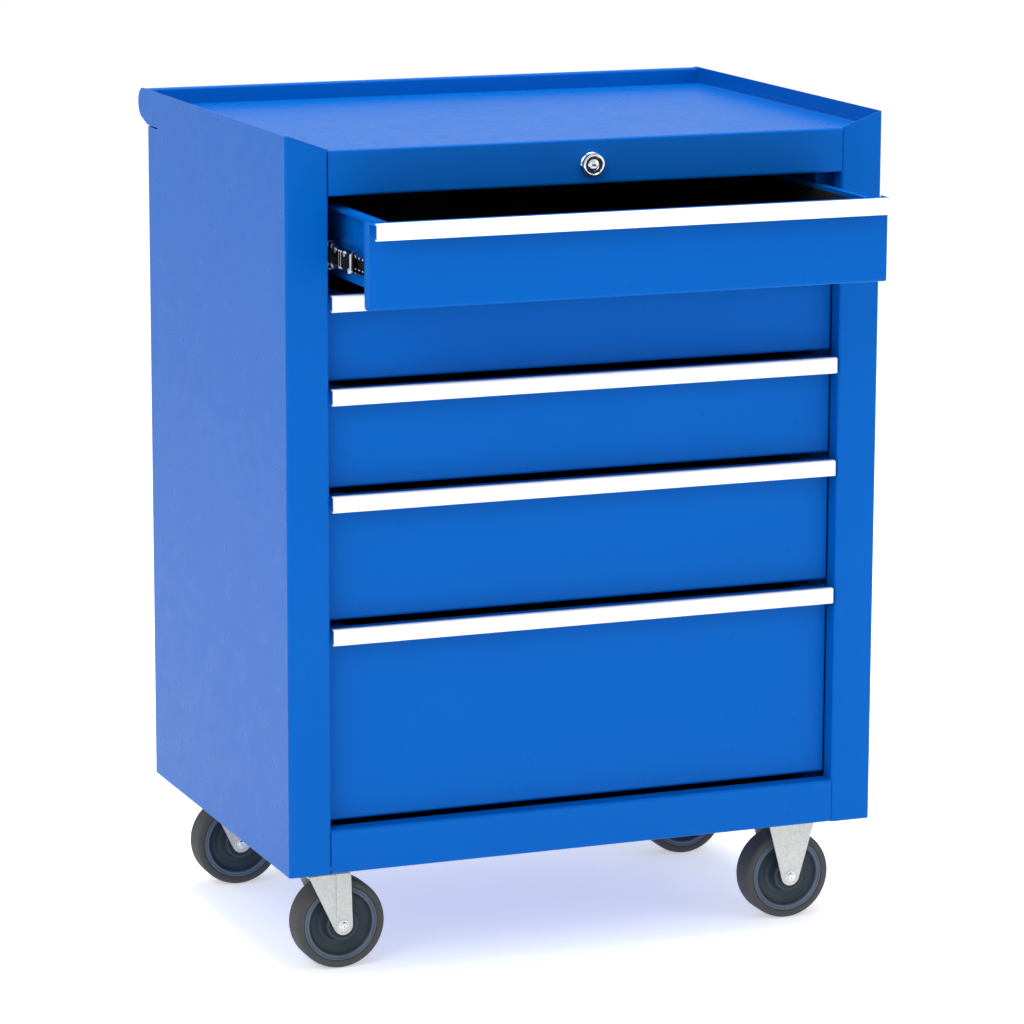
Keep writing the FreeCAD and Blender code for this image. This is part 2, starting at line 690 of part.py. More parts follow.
def drawer_trim(i):
    """Handle trim: a light C-shaped strip clipped over the front's lip."""
    top = f"front_height_{i}"
    foot = f"front_height_{i} - trim_height"
    path = [("trim_leg - trim_stand", top), ("-trim_stand", top), ("-trim_stand", foot),
            ("trim_leg - trim_stand", foot)]
    body = folded(f"DrawerTrim{i}", "YZ", path, 1, "-front_half + trim_inset",
                  "front_half - trim_inset", "trim_sheet", "trim_bend")
    return node(body, f"drawer_trim_{i}", *drawer_frame(i))


def slide_member(name, side, web, reach, half_height, start, end):
    """One channel of a slide; reach is signed, towards its open side."""
    path = [(f"{side} * ({web} + {reach})", half_height), (f"{side} * ({web})", half_height),
            (f"{side} * ({web})", f"-({half_height})"),
            (f"{side} * ({web} + {reach})", f"-({half_height})")]
    turn = side if number(reach) < 0 else -side
    return folded(name, "XZ", path, -turn, start, end, "slide_sheet", "slide_bend")


def slide_outer(label, side):
    """The five outer members on one side of the cabinet."""
    pieces = []
    for i in DRAWERS:
        piece = slide_member(f"Outer{i}{'L' if side < 0 else 'R'}", side, "slide_outer",
                             "-(slide_width - outer_gap)", "slide_height / 2",
                             "slide_start", "slide_start + slide_length")
        move(piece, "0", "0", f"front_z_{i} + slide_rise")
        pieces.append(piece)
    name = "SlideOuterLeft" if side < 0 else "SlideOuterRight"
    return node(group(name, *pieces), label, *CHEST_FRAME)


def slide_middle(i):
    """The pair of middle members, halfway between the cabinet and the drawer."""
    pieces = [slide_member(f"Middle{i}{tag}", side, "slide_outer - middle_inset",
                           "-(slide_width - middle_inset - middle_gap)",
                           "slide_height / 2 - member_step", "0", "slide_length")
              for tag, side in (("L", -1), ("R", 1))]
    return node(group(f"SlideMiddle{i}", *pieces), f"slide_middle_{i}",
                "0", f"front_y + slide_start - {opening(i)} / 2",
                f"shell_lift + front_z_{i} + slide_rise")


def slide_inner(i):
    """The pair of inner members, screwed to the drawer box."""
    pieces = [slide_member(f"Inner{i}{tag}", side, "box_half",
                           "slide_width - middle_inset - slide_sheet - inner_gap",
                           "slide_height / 2 - 2 * member_step", "0", "slide_length")
              for tag, side in (("L", -1), ("R", 1))]
    return node(group(f"SlideInner{i}", *pieces), f"slide_inner_{i}",
                "0", f"front_y + slide_start - {opening(i)}",
                f"shell_lift + front_z_{i} + slide_rise")


# ----------------------------------------------------------------------------------------
# Lock
# ----------------------------------------------------------------------------------------

LOCK_FRAME = ("0", "front_y", "shell_lift + lock_z")
GUIDED_DRAWERS = (2, 5)


def lock_housing():
    """Face flange and barrel, bored for the plug."""
    flange = rod("LockFlange", "Y", "lock_flange_radius", "-lock_flange", "0")
    barrel = rod("LockBarrel", "Y", "barrel_radius", "0", "barrel_length")
    bore = rod("LockBore", "Y", "plug_radius + running_clearance", "-lock_flange - overrun",
               "barrel_length + overrun")
    return node(cut("LockHousing", fuse("LockOutside", flange, barrel), bore),
                "lock_housing", *LOCK_FRAME)


def lock_nut():
    """Nut that holds the barrel against the rail."""
    ring = rod("NutRing", "Y", "nut_radius", "sheet", "sheet + nut_thickness")
    bore = rod("NutBore", "Y", "barrel_radius", "0", "sheet + nut_thickness + overrun")
    return node(cut("LockNut", ring, bore), "lock_nut", *LOCK_FRAME)


def lock_plug():
    """Turning plug with its key slot."""
    plug = rod("PlugRod", "Y", "plug_radius", "-lock_flange + plug_recess", "barrel_length")
    slot = block("KeySlot", ("-key_width / 2", "key_width / 2"),
                 ("-lock_flange", "barrel_length / 2"),
                 ("-key_height / 2", "key_height / 2"))
    return node(cut("LockPlug", plug, slot), "lock_plug", *LOCK_FRAME)


def lock_shaft():
    """Shaft from the plug to a crank disc, whose pin lifts the lock bar."""
    disc_back = "bar_front - crank_gap"
    disc_front = disc_back + " - crank_sheet"
    shaft = rod("ShaftRod", "Y", "shaft_radius", "barrel_length", disc_front)
    disc = rod("CrankDisc", "Y", "crank_radius", disc_front, disc_back)
    pin = rod("CrankPin", "Y", "pin_radius", disc_back, "bar_front + bar_sheet + overrun",
              ("-pin_offset", "-pin_offset"))
    return node(fuse("LockShaft", shaft, disc, pin), "lock_shaft", *LOCK_FRAME)


def lock_bar():
    """Upright bar behind the drawers, with a catch under each and a slot for the crank pin."""
    slot_half = "(pin_radius + pin_clearance)"
    bar_y = ("bar_front", "bar_front + bar_sheet")
    head_top = f"lock_z - pin_offset + {slot_half} + bar_edge"
    stem = block("BarStem", ("-bar_width / 2", "bar_width / 2"), bar_y,
                 ("bottom_rail / 2", head_top))
    head = block("BarHead", (f"-crank_throw - {slot_half} - bar_edge", "0"), bar_y,
                 (f"lock_z - pin_offset - {slot_half} - bar_foot", head_top))
    slot = block("BarSlot", (f"-crank_throw - {slot_half}", f"-pin_offset + {slot_half}"),
                 ("bar_front - overrun", "bar_front + bar_sheet + overrun"),
                 (f"lock_z - pin_offset - {slot_half}", f"lock_z - pin_offset + {slot_half}"))
    catches = []
    for i in DRAWERS:
        finger_top = f"front_z_{i} + box_rise - catch_gap"
        arm_top = finger_top + " - catch_finger"
        x = ("-catch_width / 2", "catch_width / 2")
        catches.append(block(f"CatchArm{i}", x, ("bar_front - catch_reach", "bar_front"),
                             (arm_top + " - catch_sheet", arm_top)))
        catches.append(block(f"CatchFinger{i}", x,
                             ("bar_front - catch_reach", "bar_front - catch_reach + catch_sheet"),
                             (arm_top, finger_top)))
    return node(fuse("LockBar", cut("BarBlank", fuse("BarBody", stem, head), slot), *catches),
                "lock_bar", *CHEST_FRAME)


def lock_bar_guides():
    """Two guides on the back panel for the bar, and a hanger under the tray for the shaft."""
    pieces = []
    for i in GUIDED_DRAWERS:
        low = f"front_z_{i} + front_height_{i} - guide_height - guide_drop"
        body = block(f"GuideBody{i}",
                     ("-bar_width / 2 - guide_ear", "bar_width / 2 + guide_ear"),
                     ("bar_front - guide_play - guide_wall", "back_inner"),
                     (low, f"{low} + guide_height"))
        way = block(f"GuideWay{i}",
                    ("-bar_width / 2 - guide_play", "bar_width / 2 + guide_play"),
                    ("bar_front - guide_play", "bar_front + bar_sheet + guide_play"),
                    (f"{low} - overrun", f"{low} + guide_height + overrun"))
        pieces.append(cut(f"Guide{i}", body, way))
    back = "box_back - hanger_inset"
    front = back + " - hanger_sheet"
    plate = block("HangerPlate", ("-hanger_half", "hanger_half"), (front, back),
                  ("lock_z - hanger_foot", "tray_under"))
    bore = rod("HangerBore", "Y", "shaft_radius + running_clearance", front + " - overrun",
               back + " + overrun", ("0", "lock_z"))
    pieces.append(cut("Hanger", plate, bore))
    return node(group("LockBarGuides", *pieces), "lock_bar_guides", *CHEST_FRAME)


# ----------------------------------------------------------------------------------------
# Casters
# ----------------------------------------------------------------------------------------

def caster_places():
    """Tag, X and Y of each caster's plate."""
    return (
        ("SwivelFront", "swivel_x", "caster_front_y"),
        ("SwivelRear", "swivel_x", "swivel_rear_y"),
        ("FixedFront", "fixed_x", "caster_front_y"),
        ("FixedRear", "fixed_x", "fixed_rear_y"),
    )


def bolt_offsets():
    """A caster's four bolts, from the middle of its plate."""
    return [(f"({sx} * bolt_spacing_x / 2)", f"({sy} * bolt_spacing_y / 2)")
            for sx in (-1, 1) for sy in (-1, 1)]


def caster_plate(tag, x, y):
    """A caster's top plate with its four bolt holes."""
    plate = block("Plate" + tag, (f"{x} - plate_length / 2", f"{x} + plate_length / 2"),
                  (f"{y} - plate_width / 2", f"{y} + plate_width / 2"),
                  ("plate_under", "caster_height"))
    holes = [rod(f"PlateHole{tag}{i}", "Z", "bolt_radius + bolt_clearance",
                 "plate_under - overrun", "caster_height + overrun",
                 (f"{x} + {dx}", f"{y} + {dy}"))
             for i, (dx, dy) in enumerate(bolt_offsets())]
    return cut("Drilled" + tag, plate, *holes)


def caster_bolts():
    """Sixteen hexagon bolts with their nuts, through the plates and the base panel."""
    pieces = []
    for tag, x, y in caster_places():
        for i, (dx, dy) in enumerate(bolt_offsets()):
            spot = (f"{x} + {dx}", f"{y} + {dy}")
            name = f"{tag}{i}"
            head = hexagon("Head" + name, "bolt_head_radius", "plate_under - bolt_head",
                           "plate_under", *spot)
            shank = rod("Shank" + name, "Z", "bolt_radius", "plate_under",
                        "caster_height + sheet + bolt_head + bolt_end", spot)
            nut = hexagon("Nut" + name, "bolt_head_radius", "caster_height + sheet",
                          "caster_height + sheet + bolt_head", *spot)
            pieces.append(fuse("Bolt" + name, head, shank, nut))
    return node(group("CasterBolts", *pieces), "caster_bolts", "0", "0", "0")


def leg(name, left, right, height, y0, y1, x, y):
    """A bracket's leg: a plate that narrows to a round end about the axle."""
    def tangent(reach):
        """Angle of the point where the leg's edge meets the round end."""
        return (f"(atan2({height}; {reach})"
                f" - acos(leg_end_radius / sqrt(({height})^2 + ({reach})^2)))")
    points = [(f"-({left})", height), (right, height),
              (f"leg_end_radius * cos({tangent(right)})",
               f"leg_end_radius * sin({tangent(right)})"),
              (f"-leg_end_radius * cos({tangent(left)})",
               f"leg_end_radius * sin({tangent(left)})")]
    body = doc.addObject("PartDesign::Body", name)
    pad(body, name + "Blade", "XZ", points, y0, y1)
    move(body, x, y, "axle_z")
    end = rod(name + "End", "Y", "leg_end_radius", f"{y} + {y0}", f"{y} + {y1}", (x, "axle_z"))
    return fuse(name + "Plate", body, end)


LEG_SIDES = (("Near", "-leg_outer", "-leg_inner"), ("Far", "leg_inner", "leg_outer"))


def fixed_caster_brackets():
    """Two fixed brackets: a drilled plate and two tapered legs."""
    pieces = []
    for tag, x, y in caster_places()[2:]:
        legs = [leg(f"Leg{tag}{side}", "fixed_leg_width / 2", "fixed_leg_width / 2",
                    "fixed_leg_top", y0, y1, x, y) for side, y0, y1 in LEG_SIDES]
        bore = rod("AxleBore" + tag, "Y", "axle_radius", f"{y} - leg_outer - overrun",
                   f"{y} + leg_outer + overrun", (x, "axle_z"))
        pieces.append(cut("Bracket" + tag, fuse("Blank" + tag, caster_plate(tag, x, y), *legs),
                          bore))
    return node(group("FixedBrackets", *pieces), "fixed_caster_brackets", "0", "0", "0")


def axle(name, x, y):
    """An axle with a head at each end, outside the legs."""
    shank = rod(name + "Shank", "Y", "axle_radius", f"{y} - leg_outer", f"{y} + leg_outer",
                (x, "axle_z"))
    near = rod(name + "Near", "Y", "axle_head_radius", f"{y} - leg_outer - axle_head",
               f"{y} - leg_outer", (x, "axle_z"))
    far = rod(name + "Far", "Y", "axle_head_radius", f"{y} + leg_outer",
              f"{y} + leg_outer + axle_head", (x, "axle_z"))
    return fuse(name, near, shank, far)


def fixed_caster_axles():
    """The axles of the two fixed casters."""
    pieces = [axle("Axle" + tag, x, y) for tag, x, y in caster_places()[2:]]
    return node(group("FixedAxles", *pieces), "fixed_caster_axles", "0", "0", "0")


def swivel_top_plates():
    """Two drilled plates, each with its half of the ball race and a kingpin."""
    pieces = []
    for tag, x, y in caster_places()[:2]:
        spot = (x, y)
        race = rod("RaceUpper" + tag, "Z", "race_radius", "crown_top + race_height + race_gap",
                   "plate_under", spot)
        pin = rod("Kingpin" + tag, "Z", "kingpin_radius",
                  "crown_top - caster_sheet - race_gap", "plate_under", spot)
        head = rod("KingpinHead" + tag, "Z", "kingpin_head_radius",
                   "crown_top - caster_sheet - race_gap - kingpin_head",
                   "crown_top - caster_sheet - race_gap", spot)
        pieces.append(fuse("SwivelTop" + tag, caster_plate(tag, x, y), race, pin, head))
    return node(group("SwivelTops", *pieces), "swivel_top_plates", "0", "0", "0")


def swivel_fork(label, tag, x, y):
    """Fork that turns about the kingpin: a crown with its half of the race, and two legs."""
    axle_x = f"({x} + trail)"
    crown = block("Crown" + tag, (f"{axle_x} - fork_tail", f"{axle_x} + fork_lead"),
                  (f"{y} - leg_outer", f"{y} + leg_outer"),
                  ("crown_top - caster_sheet", "crown_top"))
    disc = rod("CrownDisc" + tag, "Z", "race_radius", "crown_top - caster_sheet",
               "crown_top + race_height", (x, y))
    legs = [leg(f"Leg{tag}{side}", "fork_tail", "fork_lead", "fork_crown_height", y0, y1,
                axle_x, y) for side, y0, y1 in LEG_SIDES]
    kingpin_bore = rod("KingpinBore" + tag, "Z", "kingpin_radius + running_clearance",
                       "crown_top - caster_sheet - overrun",
                       "crown_top + race_height + overrun", (x, y))
    axle_bore = rod("AxleBore" + tag, "Y", "axle_radius", f"{y} - leg_outer - overrun",
                    f"{y} + leg_outer + overrun", (axle_x, "axle_z"))
    fork = cut("Fork" + tag, fuse("ForkBlank" + tag, crown, disc, *legs), kingpin_bore,
               axle_bore)
    return node(fork, label, "0", "0", "0")


def turned(name, outline):
    """A solid turned about the Y axis from an outline of radius and position."""
    body = doc.addObject("PartDesign::Body", name)
    sketch = new_sketch(body, name + "Section", "XY", "0")
    polygon(sketch, outline)
    spin = body.newObject("PartDesign::Revolution", name + "Turned")
    spin.Profile = sketch
    spin.ReferenceAxis = (sketch, ["V_Axis"])
    spin.Angle = 360
    doc.recompute()
    return body


def wheel_hub(label, x, y):
    """Wheel centre: hub, web and rim."""
    half_web = "web_width / 2"
    half_rim = "wheel_width / 2 - rim_setback"
    bore = "axle_radius + running_clearance"
    half_hub = "hub_width / 2"
    outline = [(bore, f"-({half_hub})"), ("hub_radius", f"-({half_hub})"),
               ("hub_radius", f"-({half_web})"), ("rim_inner", f"-({half_web})"),
               ("rim_inner", f"-({half_rim})"), ("tyre_inner", f"-({half_rim})"),
               ("tyre_inner", half_rim), ("rim_inner", half_rim), ("rim_inner", half_web),
               ("hub_radius", half_web), ("hub_radius", half_hub), (bore, half_hub)]
    return node(turned("Hub" + label.title().replace("_", ""), outline), label,
                x, y, "axle_z")


def wheel_tyre(label, x, y):
    """Solid rubber tyre."""
    half = "wheel_width / 2"
    outline = [("tyre_inner", f"-({half})"), ("wheel_radius - tyre_chamfer", f"-({half})"),
               ("wheel_radius", f"-({half} - tyre_chamfer)"),
               ("wheel_radius", f"{half} - tyre_chamfer"),
               ("wheel_radius - tyre_chamfer", half), ("tyre_inner", half)]
    return node(turned("Tyre" + label.title().replace("_", ""), outline), label,
                x, y, "axle_z")


# ----------------------------------------------------------------------------------------
# The chest
# ----------------------------------------------------------------------------------------

def build_shell():
    """Every fixed piece of the cabinet."""
    side_panel("side_panel_left", -1)
    side_panel("side_panel_right", 1)
    back_panel()
    top_tray()
    push_handle()
    front_top_rail()
    front_bottom_rail()
    base_panel()
    slide_uprights()
    slide_outer("slide_outer_left", -1)
    slide_outer("slide_outer_right", 1)


def build_drawers():
    """The five drawers with their slides."""
    for i in DRAWERS:
        drawer_box(i)
        drawer_front(i)
        drawer_trim(i)
        slide_inner(i)
        slide_middle(i)


def build_lock():
    """Lock, crank shaft, lock bar and guides."""
    lock_housing()
    lock_nut()
    lock_plug()
    lock_shaft()
    lock_bar()
    lock_bar_guides()


def build_casters():
    """Two swivel casters on the left and two fixed ones on the right."""
    caster_bolts()
    fixed_caster_brackets()
    fixed_caster_axles()
    swivel_top_plates()
    for tag, x, y in caster_places():
        kind = "swivel" if tag.startswith("Swivel") else "fixed"
        end = "front" if tag.endswith("Front") else "rear"
        wheel_x = f"({x} + trail)" if kind == "swivel" else x
        if kind == "swivel":
            swivel_fork(f"swivel_fork_{end}", tag, x, y)
            node(group("SwivelAxleNode" + tag, axle("SwivelAxle" + tag, wheel_x, y)),
                 f"swivel_axle_{end}", "0", "0", "0")
        wheel_hub(f"{kind}_wheel_hub_{end}", wheel_x, y)
        wheel_tyre(f"{kind}_tyre_{end}", wheel_x, y)


def check_and_export():
    """Stop if anything failed; otherwise write one STEP file for each sub-part."""
    doc.recompute()
    for item in doc.Objects:
        if "Invalid" in item.State or "Error" in item.State:
            raise RuntimeError(f"{item.Name} failed: {item.State}")
    for item in nodes:
        if item.Shape.isNull() or not item.Shape.isValid() or not item.Shape.Solids:
            raise RuntimeError(f"{item.Label} has no valid shape")
    os.makedirs("parts", exist_ok=True)
    for item in nodes:
        item.Shape.exportStep(f"parts/{item.Label}.step")
        print(f"{item.Label}: {len(item.Shape.Solids)} solid(s), {item.Shape.Volume:.0f} mm3")


build_shell()
build_drawers()
build_lock()
build_casters()
check_and_export()
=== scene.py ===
import logging
import math
from contextlib import contextmanager
from dataclasses import dataclass, field
from enum import Enum
from typing import Callable, Iterator, Sequence

import bmesh
import bpy
from mathutils import Matrix, Vector


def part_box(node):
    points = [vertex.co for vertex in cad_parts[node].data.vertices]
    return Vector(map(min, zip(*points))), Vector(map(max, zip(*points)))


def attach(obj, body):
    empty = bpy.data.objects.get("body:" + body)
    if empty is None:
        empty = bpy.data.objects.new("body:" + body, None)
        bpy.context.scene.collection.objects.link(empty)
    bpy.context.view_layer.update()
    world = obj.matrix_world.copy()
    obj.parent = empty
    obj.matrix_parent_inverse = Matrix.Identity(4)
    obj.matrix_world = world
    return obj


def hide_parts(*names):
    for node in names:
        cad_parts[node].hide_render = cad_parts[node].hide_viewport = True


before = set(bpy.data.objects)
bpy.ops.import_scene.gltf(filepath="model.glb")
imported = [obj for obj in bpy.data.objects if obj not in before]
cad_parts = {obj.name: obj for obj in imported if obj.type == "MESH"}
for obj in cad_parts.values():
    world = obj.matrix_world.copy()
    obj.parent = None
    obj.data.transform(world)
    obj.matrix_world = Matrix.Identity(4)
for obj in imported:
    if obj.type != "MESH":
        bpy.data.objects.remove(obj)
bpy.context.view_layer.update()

LOG = logging.getLogger("tool_chest")
MM = 0.001
FULL_TURN = 2 * math.pi
ORIGIN = Vector((0, 0, 0))
TINY = 1e-6           # metres; points this close are one
SAME_CORNER = 1e-5    # metres; how near a vertex is to the corner that it stands for
NOISE_SPAN = (0.3, 0.7)   # the part of a noise pattern's range that is spread out
SOFT_STEPS = 2        # facets of a softened edge
SOFT_ANGLE = 35.0     # degrees; flatter edges are not softened
Point = tuple[float, float]
Profile = tuple[Point, ...]
Triple = tuple[float, float, float]
Corners = tuple[tuple[Triple, Triple], ...]
Colour = Triple


class Axis(Enum):
    """The chest's own axes."""

    X = (1.0, 0.0, 0.0)
    Y = (0.0, 1.0, 0.0)
    Z = (0.0, 0.0, 1.0)


class Slot(Enum):
    """The record's material slots."""

    BLUE = "blue_paint"
    TRIM = "white_trim"
    SLIDE = "slide_steel"
    ZINC = "zinc_steel"
    CHROME = "lock_chrome"
    CASTER = "caster_steel"
    RUBBER = "tyre_rubber"
    WHEEL = "wheel_plastic"


# --- Finishes ---

class Shader:
    """A material's node tree, built up step by step around one principled shader."""

    def __init__(self, name: str) -> None:
        """Start an empty material.

        Args:
            name: the material's name.
        """
        self.material = bpy.data.materials.new(name)
        self.material.use_nodes = True
        self.tree = self.material.node_tree
        self.surface = self.tree.nodes["Principled BSDF"]
        self.place = self.tree.nodes.new("ShaderNodeTexCoord").outputs["Object"]

    def set(self, **values: float | Colour) -> None:
        """Set constant inputs of the shader; underscores in the names stand for spaces."""
        for name, value in values.items():
            socket = self.surface.inputs[name.replace("_", " ")]
            socket.default_value = (*value, 1.0) if isinstance(value, tuple) else value

    def noise(self, scale: float, detail: float = 2.0,
              stretch: Triple = (1.0, 1.0, 1.0)) -> bpy.types.NodeSocket:
        """A noise pattern on the piece.

        Args:
            scale: cells per metre.
            detail: octaves of finer noise.
            stretch: scale along each axis.

        Returns:
            The pattern's value socket.
        """
        mapping = self.tree.nodes.new("ShaderNodeMapping")
        mapping.inputs["Scale"].default_value = stretch
        pattern = self.tree.nodes.new("ShaderNodeTexNoise")
        pattern.inputs["Scale"].default_value = scale
        pattern.inputs["Detail"].default_value = detail
        self.tree.links.new(self.place, mapping.inputs["Vector"])
        self.tree.links.new(mapping.outputs["Vector"], pattern.inputs["Vector"])
        return pattern.outputs["Fac"]

    def spangle(self, scale: float) -> bpy.types.NodeSocket:
        """A crystal pattern, as on galvanised steel.

        Args:
            scale: crystals per metre.

        Returns:
            The pattern's colour socket.
        """
        pattern = self.tree.nodes.new("ShaderNodeTexVoronoi")
        pattern.inputs["Scale"].default_value = scale
        self.tree.links.new(self.place, pattern.inputs["Vector"])
        return pattern.outputs["Color"]

    def tint(self, value: bpy.types.NodeSocket, colour: Colour, shades: Point) -> None:
        """Blend the base colour between two shades of a colour by a pattern.

        Args:
            value: the pattern.
            colour: the colour.
            shades: factors of the darkest and of the lightest shade.
        """
        ramp = self.tree.nodes.new("ShaderNodeValToRGB")
        for stop, position, factor in zip(ramp.color_ramp.elements, NOISE_SPAN, shades):
            stop.position = position
            stop.color = (*(part * factor for part in colour), 1.0)
        self.tree.links.new(value, ramp.inputs["Fac"])
        self.tree.links.new(ramp.outputs["Color"], self.surface.inputs["Base Color"])

    def gloss(self, value: bpy.types.NodeSocket, low: float, high: float) -> None:
        """Vary the roughness between two values by a pattern."""
        spread = self.tree.nodes.new("ShaderNodeMapRange")
        limits = zip(("From Min", "From Max", "To Min", "To Max"), (*NOISE_SPAN, low, high))
        for name, limit in limits:
            spread.inputs[name].default_value = limit
        self.tree.links.new(value, spread.inputs["Value"])
        self.tree.links.new(spread.outputs["Result"], self.surface.inputs["Roughness"])

    def bump(self, value: bpy.types.NodeSocket, strength: float, height: float) -> None:
        """Raise the surface by a pattern.

        Args:
            value: the pattern.
            strength: share of the full effect.
            height: depth of the pattern, in metres.
        """
        relief = self.tree.nodes.new("ShaderNodeBump")
        relief.inputs["Strength"].default_value = strength
        relief.inputs["Distance"].default_value = height
        self.tree.links.new(value, relief.inputs["Height"])
        self.tree.links.new(relief.outputs["Normal"], self.surface.inputs["Normal"])


@dataclass(frozen=True)
class Finish:
    """A surface finish; each kind of finish builds its own nodes."""

    name: str
    colour: Colour
    rough: float
    slot: Slot

    def build(self, shader: Shader) -> None:
        """Fill in the finish's nodes."""
        raise NotImplementedError

    def material(self) -> bpy.types.Material:
        """The finish's material, made on first use."""
        found = bpy.data.materials.get(self.name)
        if found is None:
            shader = Shader(self.name)
            self.build(shader)
            found = shader.material
        return found


@dataclass(frozen=True)
class PowderCoat(Finish):
    """Baked powder paint, with a fine orange-peel surface."""

    peel: float = 0.03
    index: float = 1.15

    def build(self, shader: Shader) -> None:
        """Fill in the finish's nodes."""
        shader.set(IOR=self.index)
        shader.tint(shader.noise(scale=9.0, detail=4.0), self.colour, shades=(0.985, 1.015))
        shader.gloss(shader.noise(scale=60.0), low=self.rough - 0.03, high=self.rough + 0.04)
        shader.bump(shader.noise(scale=220.0), strength=self.peel, height=0.0001)


@dataclass(frozen=True)
class PlatedSteel(Finish):
    """Zinc or chrome plate, with a faint grain along the piece."""

    grain: Triple = (1.0, 0.06, 1.0)
    metal: float = 1.0

    def build(self, shader: Shader) -> None:
        """Fill in the finish's nodes."""
        shader.set(Metallic=self.metal)
        shader.tint(shader.noise(scale=90.0, detail=3.0), self.colour, shades=(0.9, 1.06))
        shader.gloss(shader.noise(scale=900.0, stretch=self.grain),
                     low=self.rough * 0.75, high=self.rough * 1.3)
        shader.bump(shader.noise(scale=1400.0, stretch=self.grain),
                    strength=0.05, height=0.0001)


@dataclass(frozen=True)
class Galvanised(Finish):
    """Pressed steel under a dull passivated zinc coat."""

    metal: float = 0.35

    def build(self, shader: Shader) -> None:
        """Fill in the finish's nodes."""
        shader.set(Metallic=self.metal)
        shader.tint(shader.spangle(scale=420.0), self.colour, shades=(0.94, 1.05))
        shader.gloss(shader.noise(scale=120.0, detail=3.0),
                     low=self.rough - 0.05, high=self.rough + 0.08)
        shader.bump(shader.noise(scale=700.0, detail=3.0), strength=0.06, height=0.0002)


@dataclass(frozen=True)
class Moulded(Finish):
    """Rubber or plastic from a mould, with a fine matt grain."""

    grain: float = 0.12
    shine: float = 0.25

    def build(self, shader: Shader) -> None:
        """Fill in the finish's nodes."""
        shader.set(Specular_IOR_Level=self.shine)
        shader.tint(shader.noise(scale=35.0, detail=4.0), self.colour, shades=(0.85, 1.15))
        shader.gloss(shader.noise(scale=50.0, detail=3.0),
                     low=self.rough - 0.06, high=self.rough + 0.06)
        shader.bump(shader.noise(scale=1800.0), strength=self.grain, height=0.0002)


BLUE_PAINT = PowderCoat("blue_powder_coat", (0.0, 0.108, 0.46), 0.3, Slot.BLUE)
DRAWER_BLUE = PowderCoat("drawer_blue_powder_coat", (0.0, 0.110, 0.47), 0.3, Slot.BLUE)
TRIM_WHITE = PowderCoat("white_trim_paint", (0.94, 0.94, 0.94), 0.3, Slot.TRIM, 0.04, 1.45)
SLIDE_ZINC = PlatedSteel("slide_bright_zinc", (0.64, 0.68, 0.74), 0.18, Slot.SLIDE)
# Steel ribs and eyelets made near-white and mostly non-metal, so that they show as painted
# glints.
RIB_STEEL_GLINT = PlatedSteel("slide_rib_painted_glint", (0.84, 0.88, 0.92), 0.3, Slot.SLIDE, metal=0.25)
BALL_STEEL = PlatedSteel("ball_steel", (0.86, 0.87, 0.88), 0.08, Slot.SLIDE)
CAGE_BLACK = Moulded("slide_cage_plastic", (0.010, 0.011, 0.012), 0.5, Slot.SLIDE, 0.1, 0.04)
ZINC = PlatedSteel("fastener_zinc", (0.62, 0.63, 0.62), 0.3, Slot.ZINC)
CHROME = PlatedSteel("lock_chrome_plate", (0.86, 0.87, 0.88), 0.09, Slot.CHROME)
# Dark ring on the lock's recess floor: painted shade of the recess.
LOCK_RECESS_SHADE = PlatedSteel("lock_recess_painted_shade", (0.05, 0.055, 0.06), 0.35, Slot.CHROME)
CASTER_GREY = Galvanised("caster_passivated_zinc", (0.56, 0.565, 0.52), 0.38, Slot.CASTER)
CASTER_BRIGHT = PlatedSteel("caster_axle_zinc", (0.72, 0.74, 0.73), 0.24, Slot.CASTER)
TYRE_RUBBER = Moulded("tyre_rubber", (0.024, 0.027, 0.029), 0.6, Slot.RUBBER, 0.12, 0.03)
RIM_PLASTIC = Moulded("wheel_rim_plastic", (0.095, 0.125, 0.17), 0.42, Slot.WHEEL)
# The same plastic as the rim, made darker: painted shade of the dished centre.
WEB_PLASTIC_SHADED = Moulded("wheel_web_plastic", (0.032, 0.046, 0.060), 0.45, Slot.WHEEL)
# Black lining for the drawers' floor and walls: painted shade for the dark inside of each
# drawer.
SHADE_LINER_BLACK = Moulded("drawer_liner_foam", (0.008, 0.008, 0.010), 0.8, Slot.BLUE, 0.3)


# --- The workbench: shaping tools ---

Piece = bpy.types.Object


def vec(x: float, y: float, z: float) -> Vector:
    """A point given in millimetres, in metres."""
    return Vector((x, y, z)) * MM


def only(piece: Piece) -> Piece:
    """Select one piece, make it active, and return it."""
    bpy.ops.object.select_all(action="DESELECT")
    piece.select_set(True)
    bpy.context.view_layer.objects.active = piece
    return piece


@contextmanager
def editing(piece: Piece, everything: bool = False) -> Iterator[None]:
    """Edit mode on one piece.

    Args:
        piece: the piece to edit.
        everything: start with all of it selected, and not with nothing.
    """
    only(piece)
    bpy.ops.object.mode_set(mode="EDIT")
    bpy.ops.mesh.select_all(action="SELECT" if everything else "DESELECT")
    yield
    bpy.ops.object.mode_set(mode="OBJECT")


def pick(piece: Piece, test: Callable[[Vector], bool]) -> None:
    """Select vertices by their place, in edit mode.

    Args:
        piece: the piece in edit mode.
        test: takes a vertex's place and says whether it is selected.
    """
    bpy.ops.mesh.select_all(action="DESELECT")
    bpy.ops.mesh.select_mode(type="VERT")
    mesh = bmesh.from_edit_mesh(piece.data)
    for vertex in mesh.verts:
        if test(vertex.co):
            vertex.select_set(True)
    mesh.select_flush_mode()
    bmesh.update_edit_mesh(piece.data)


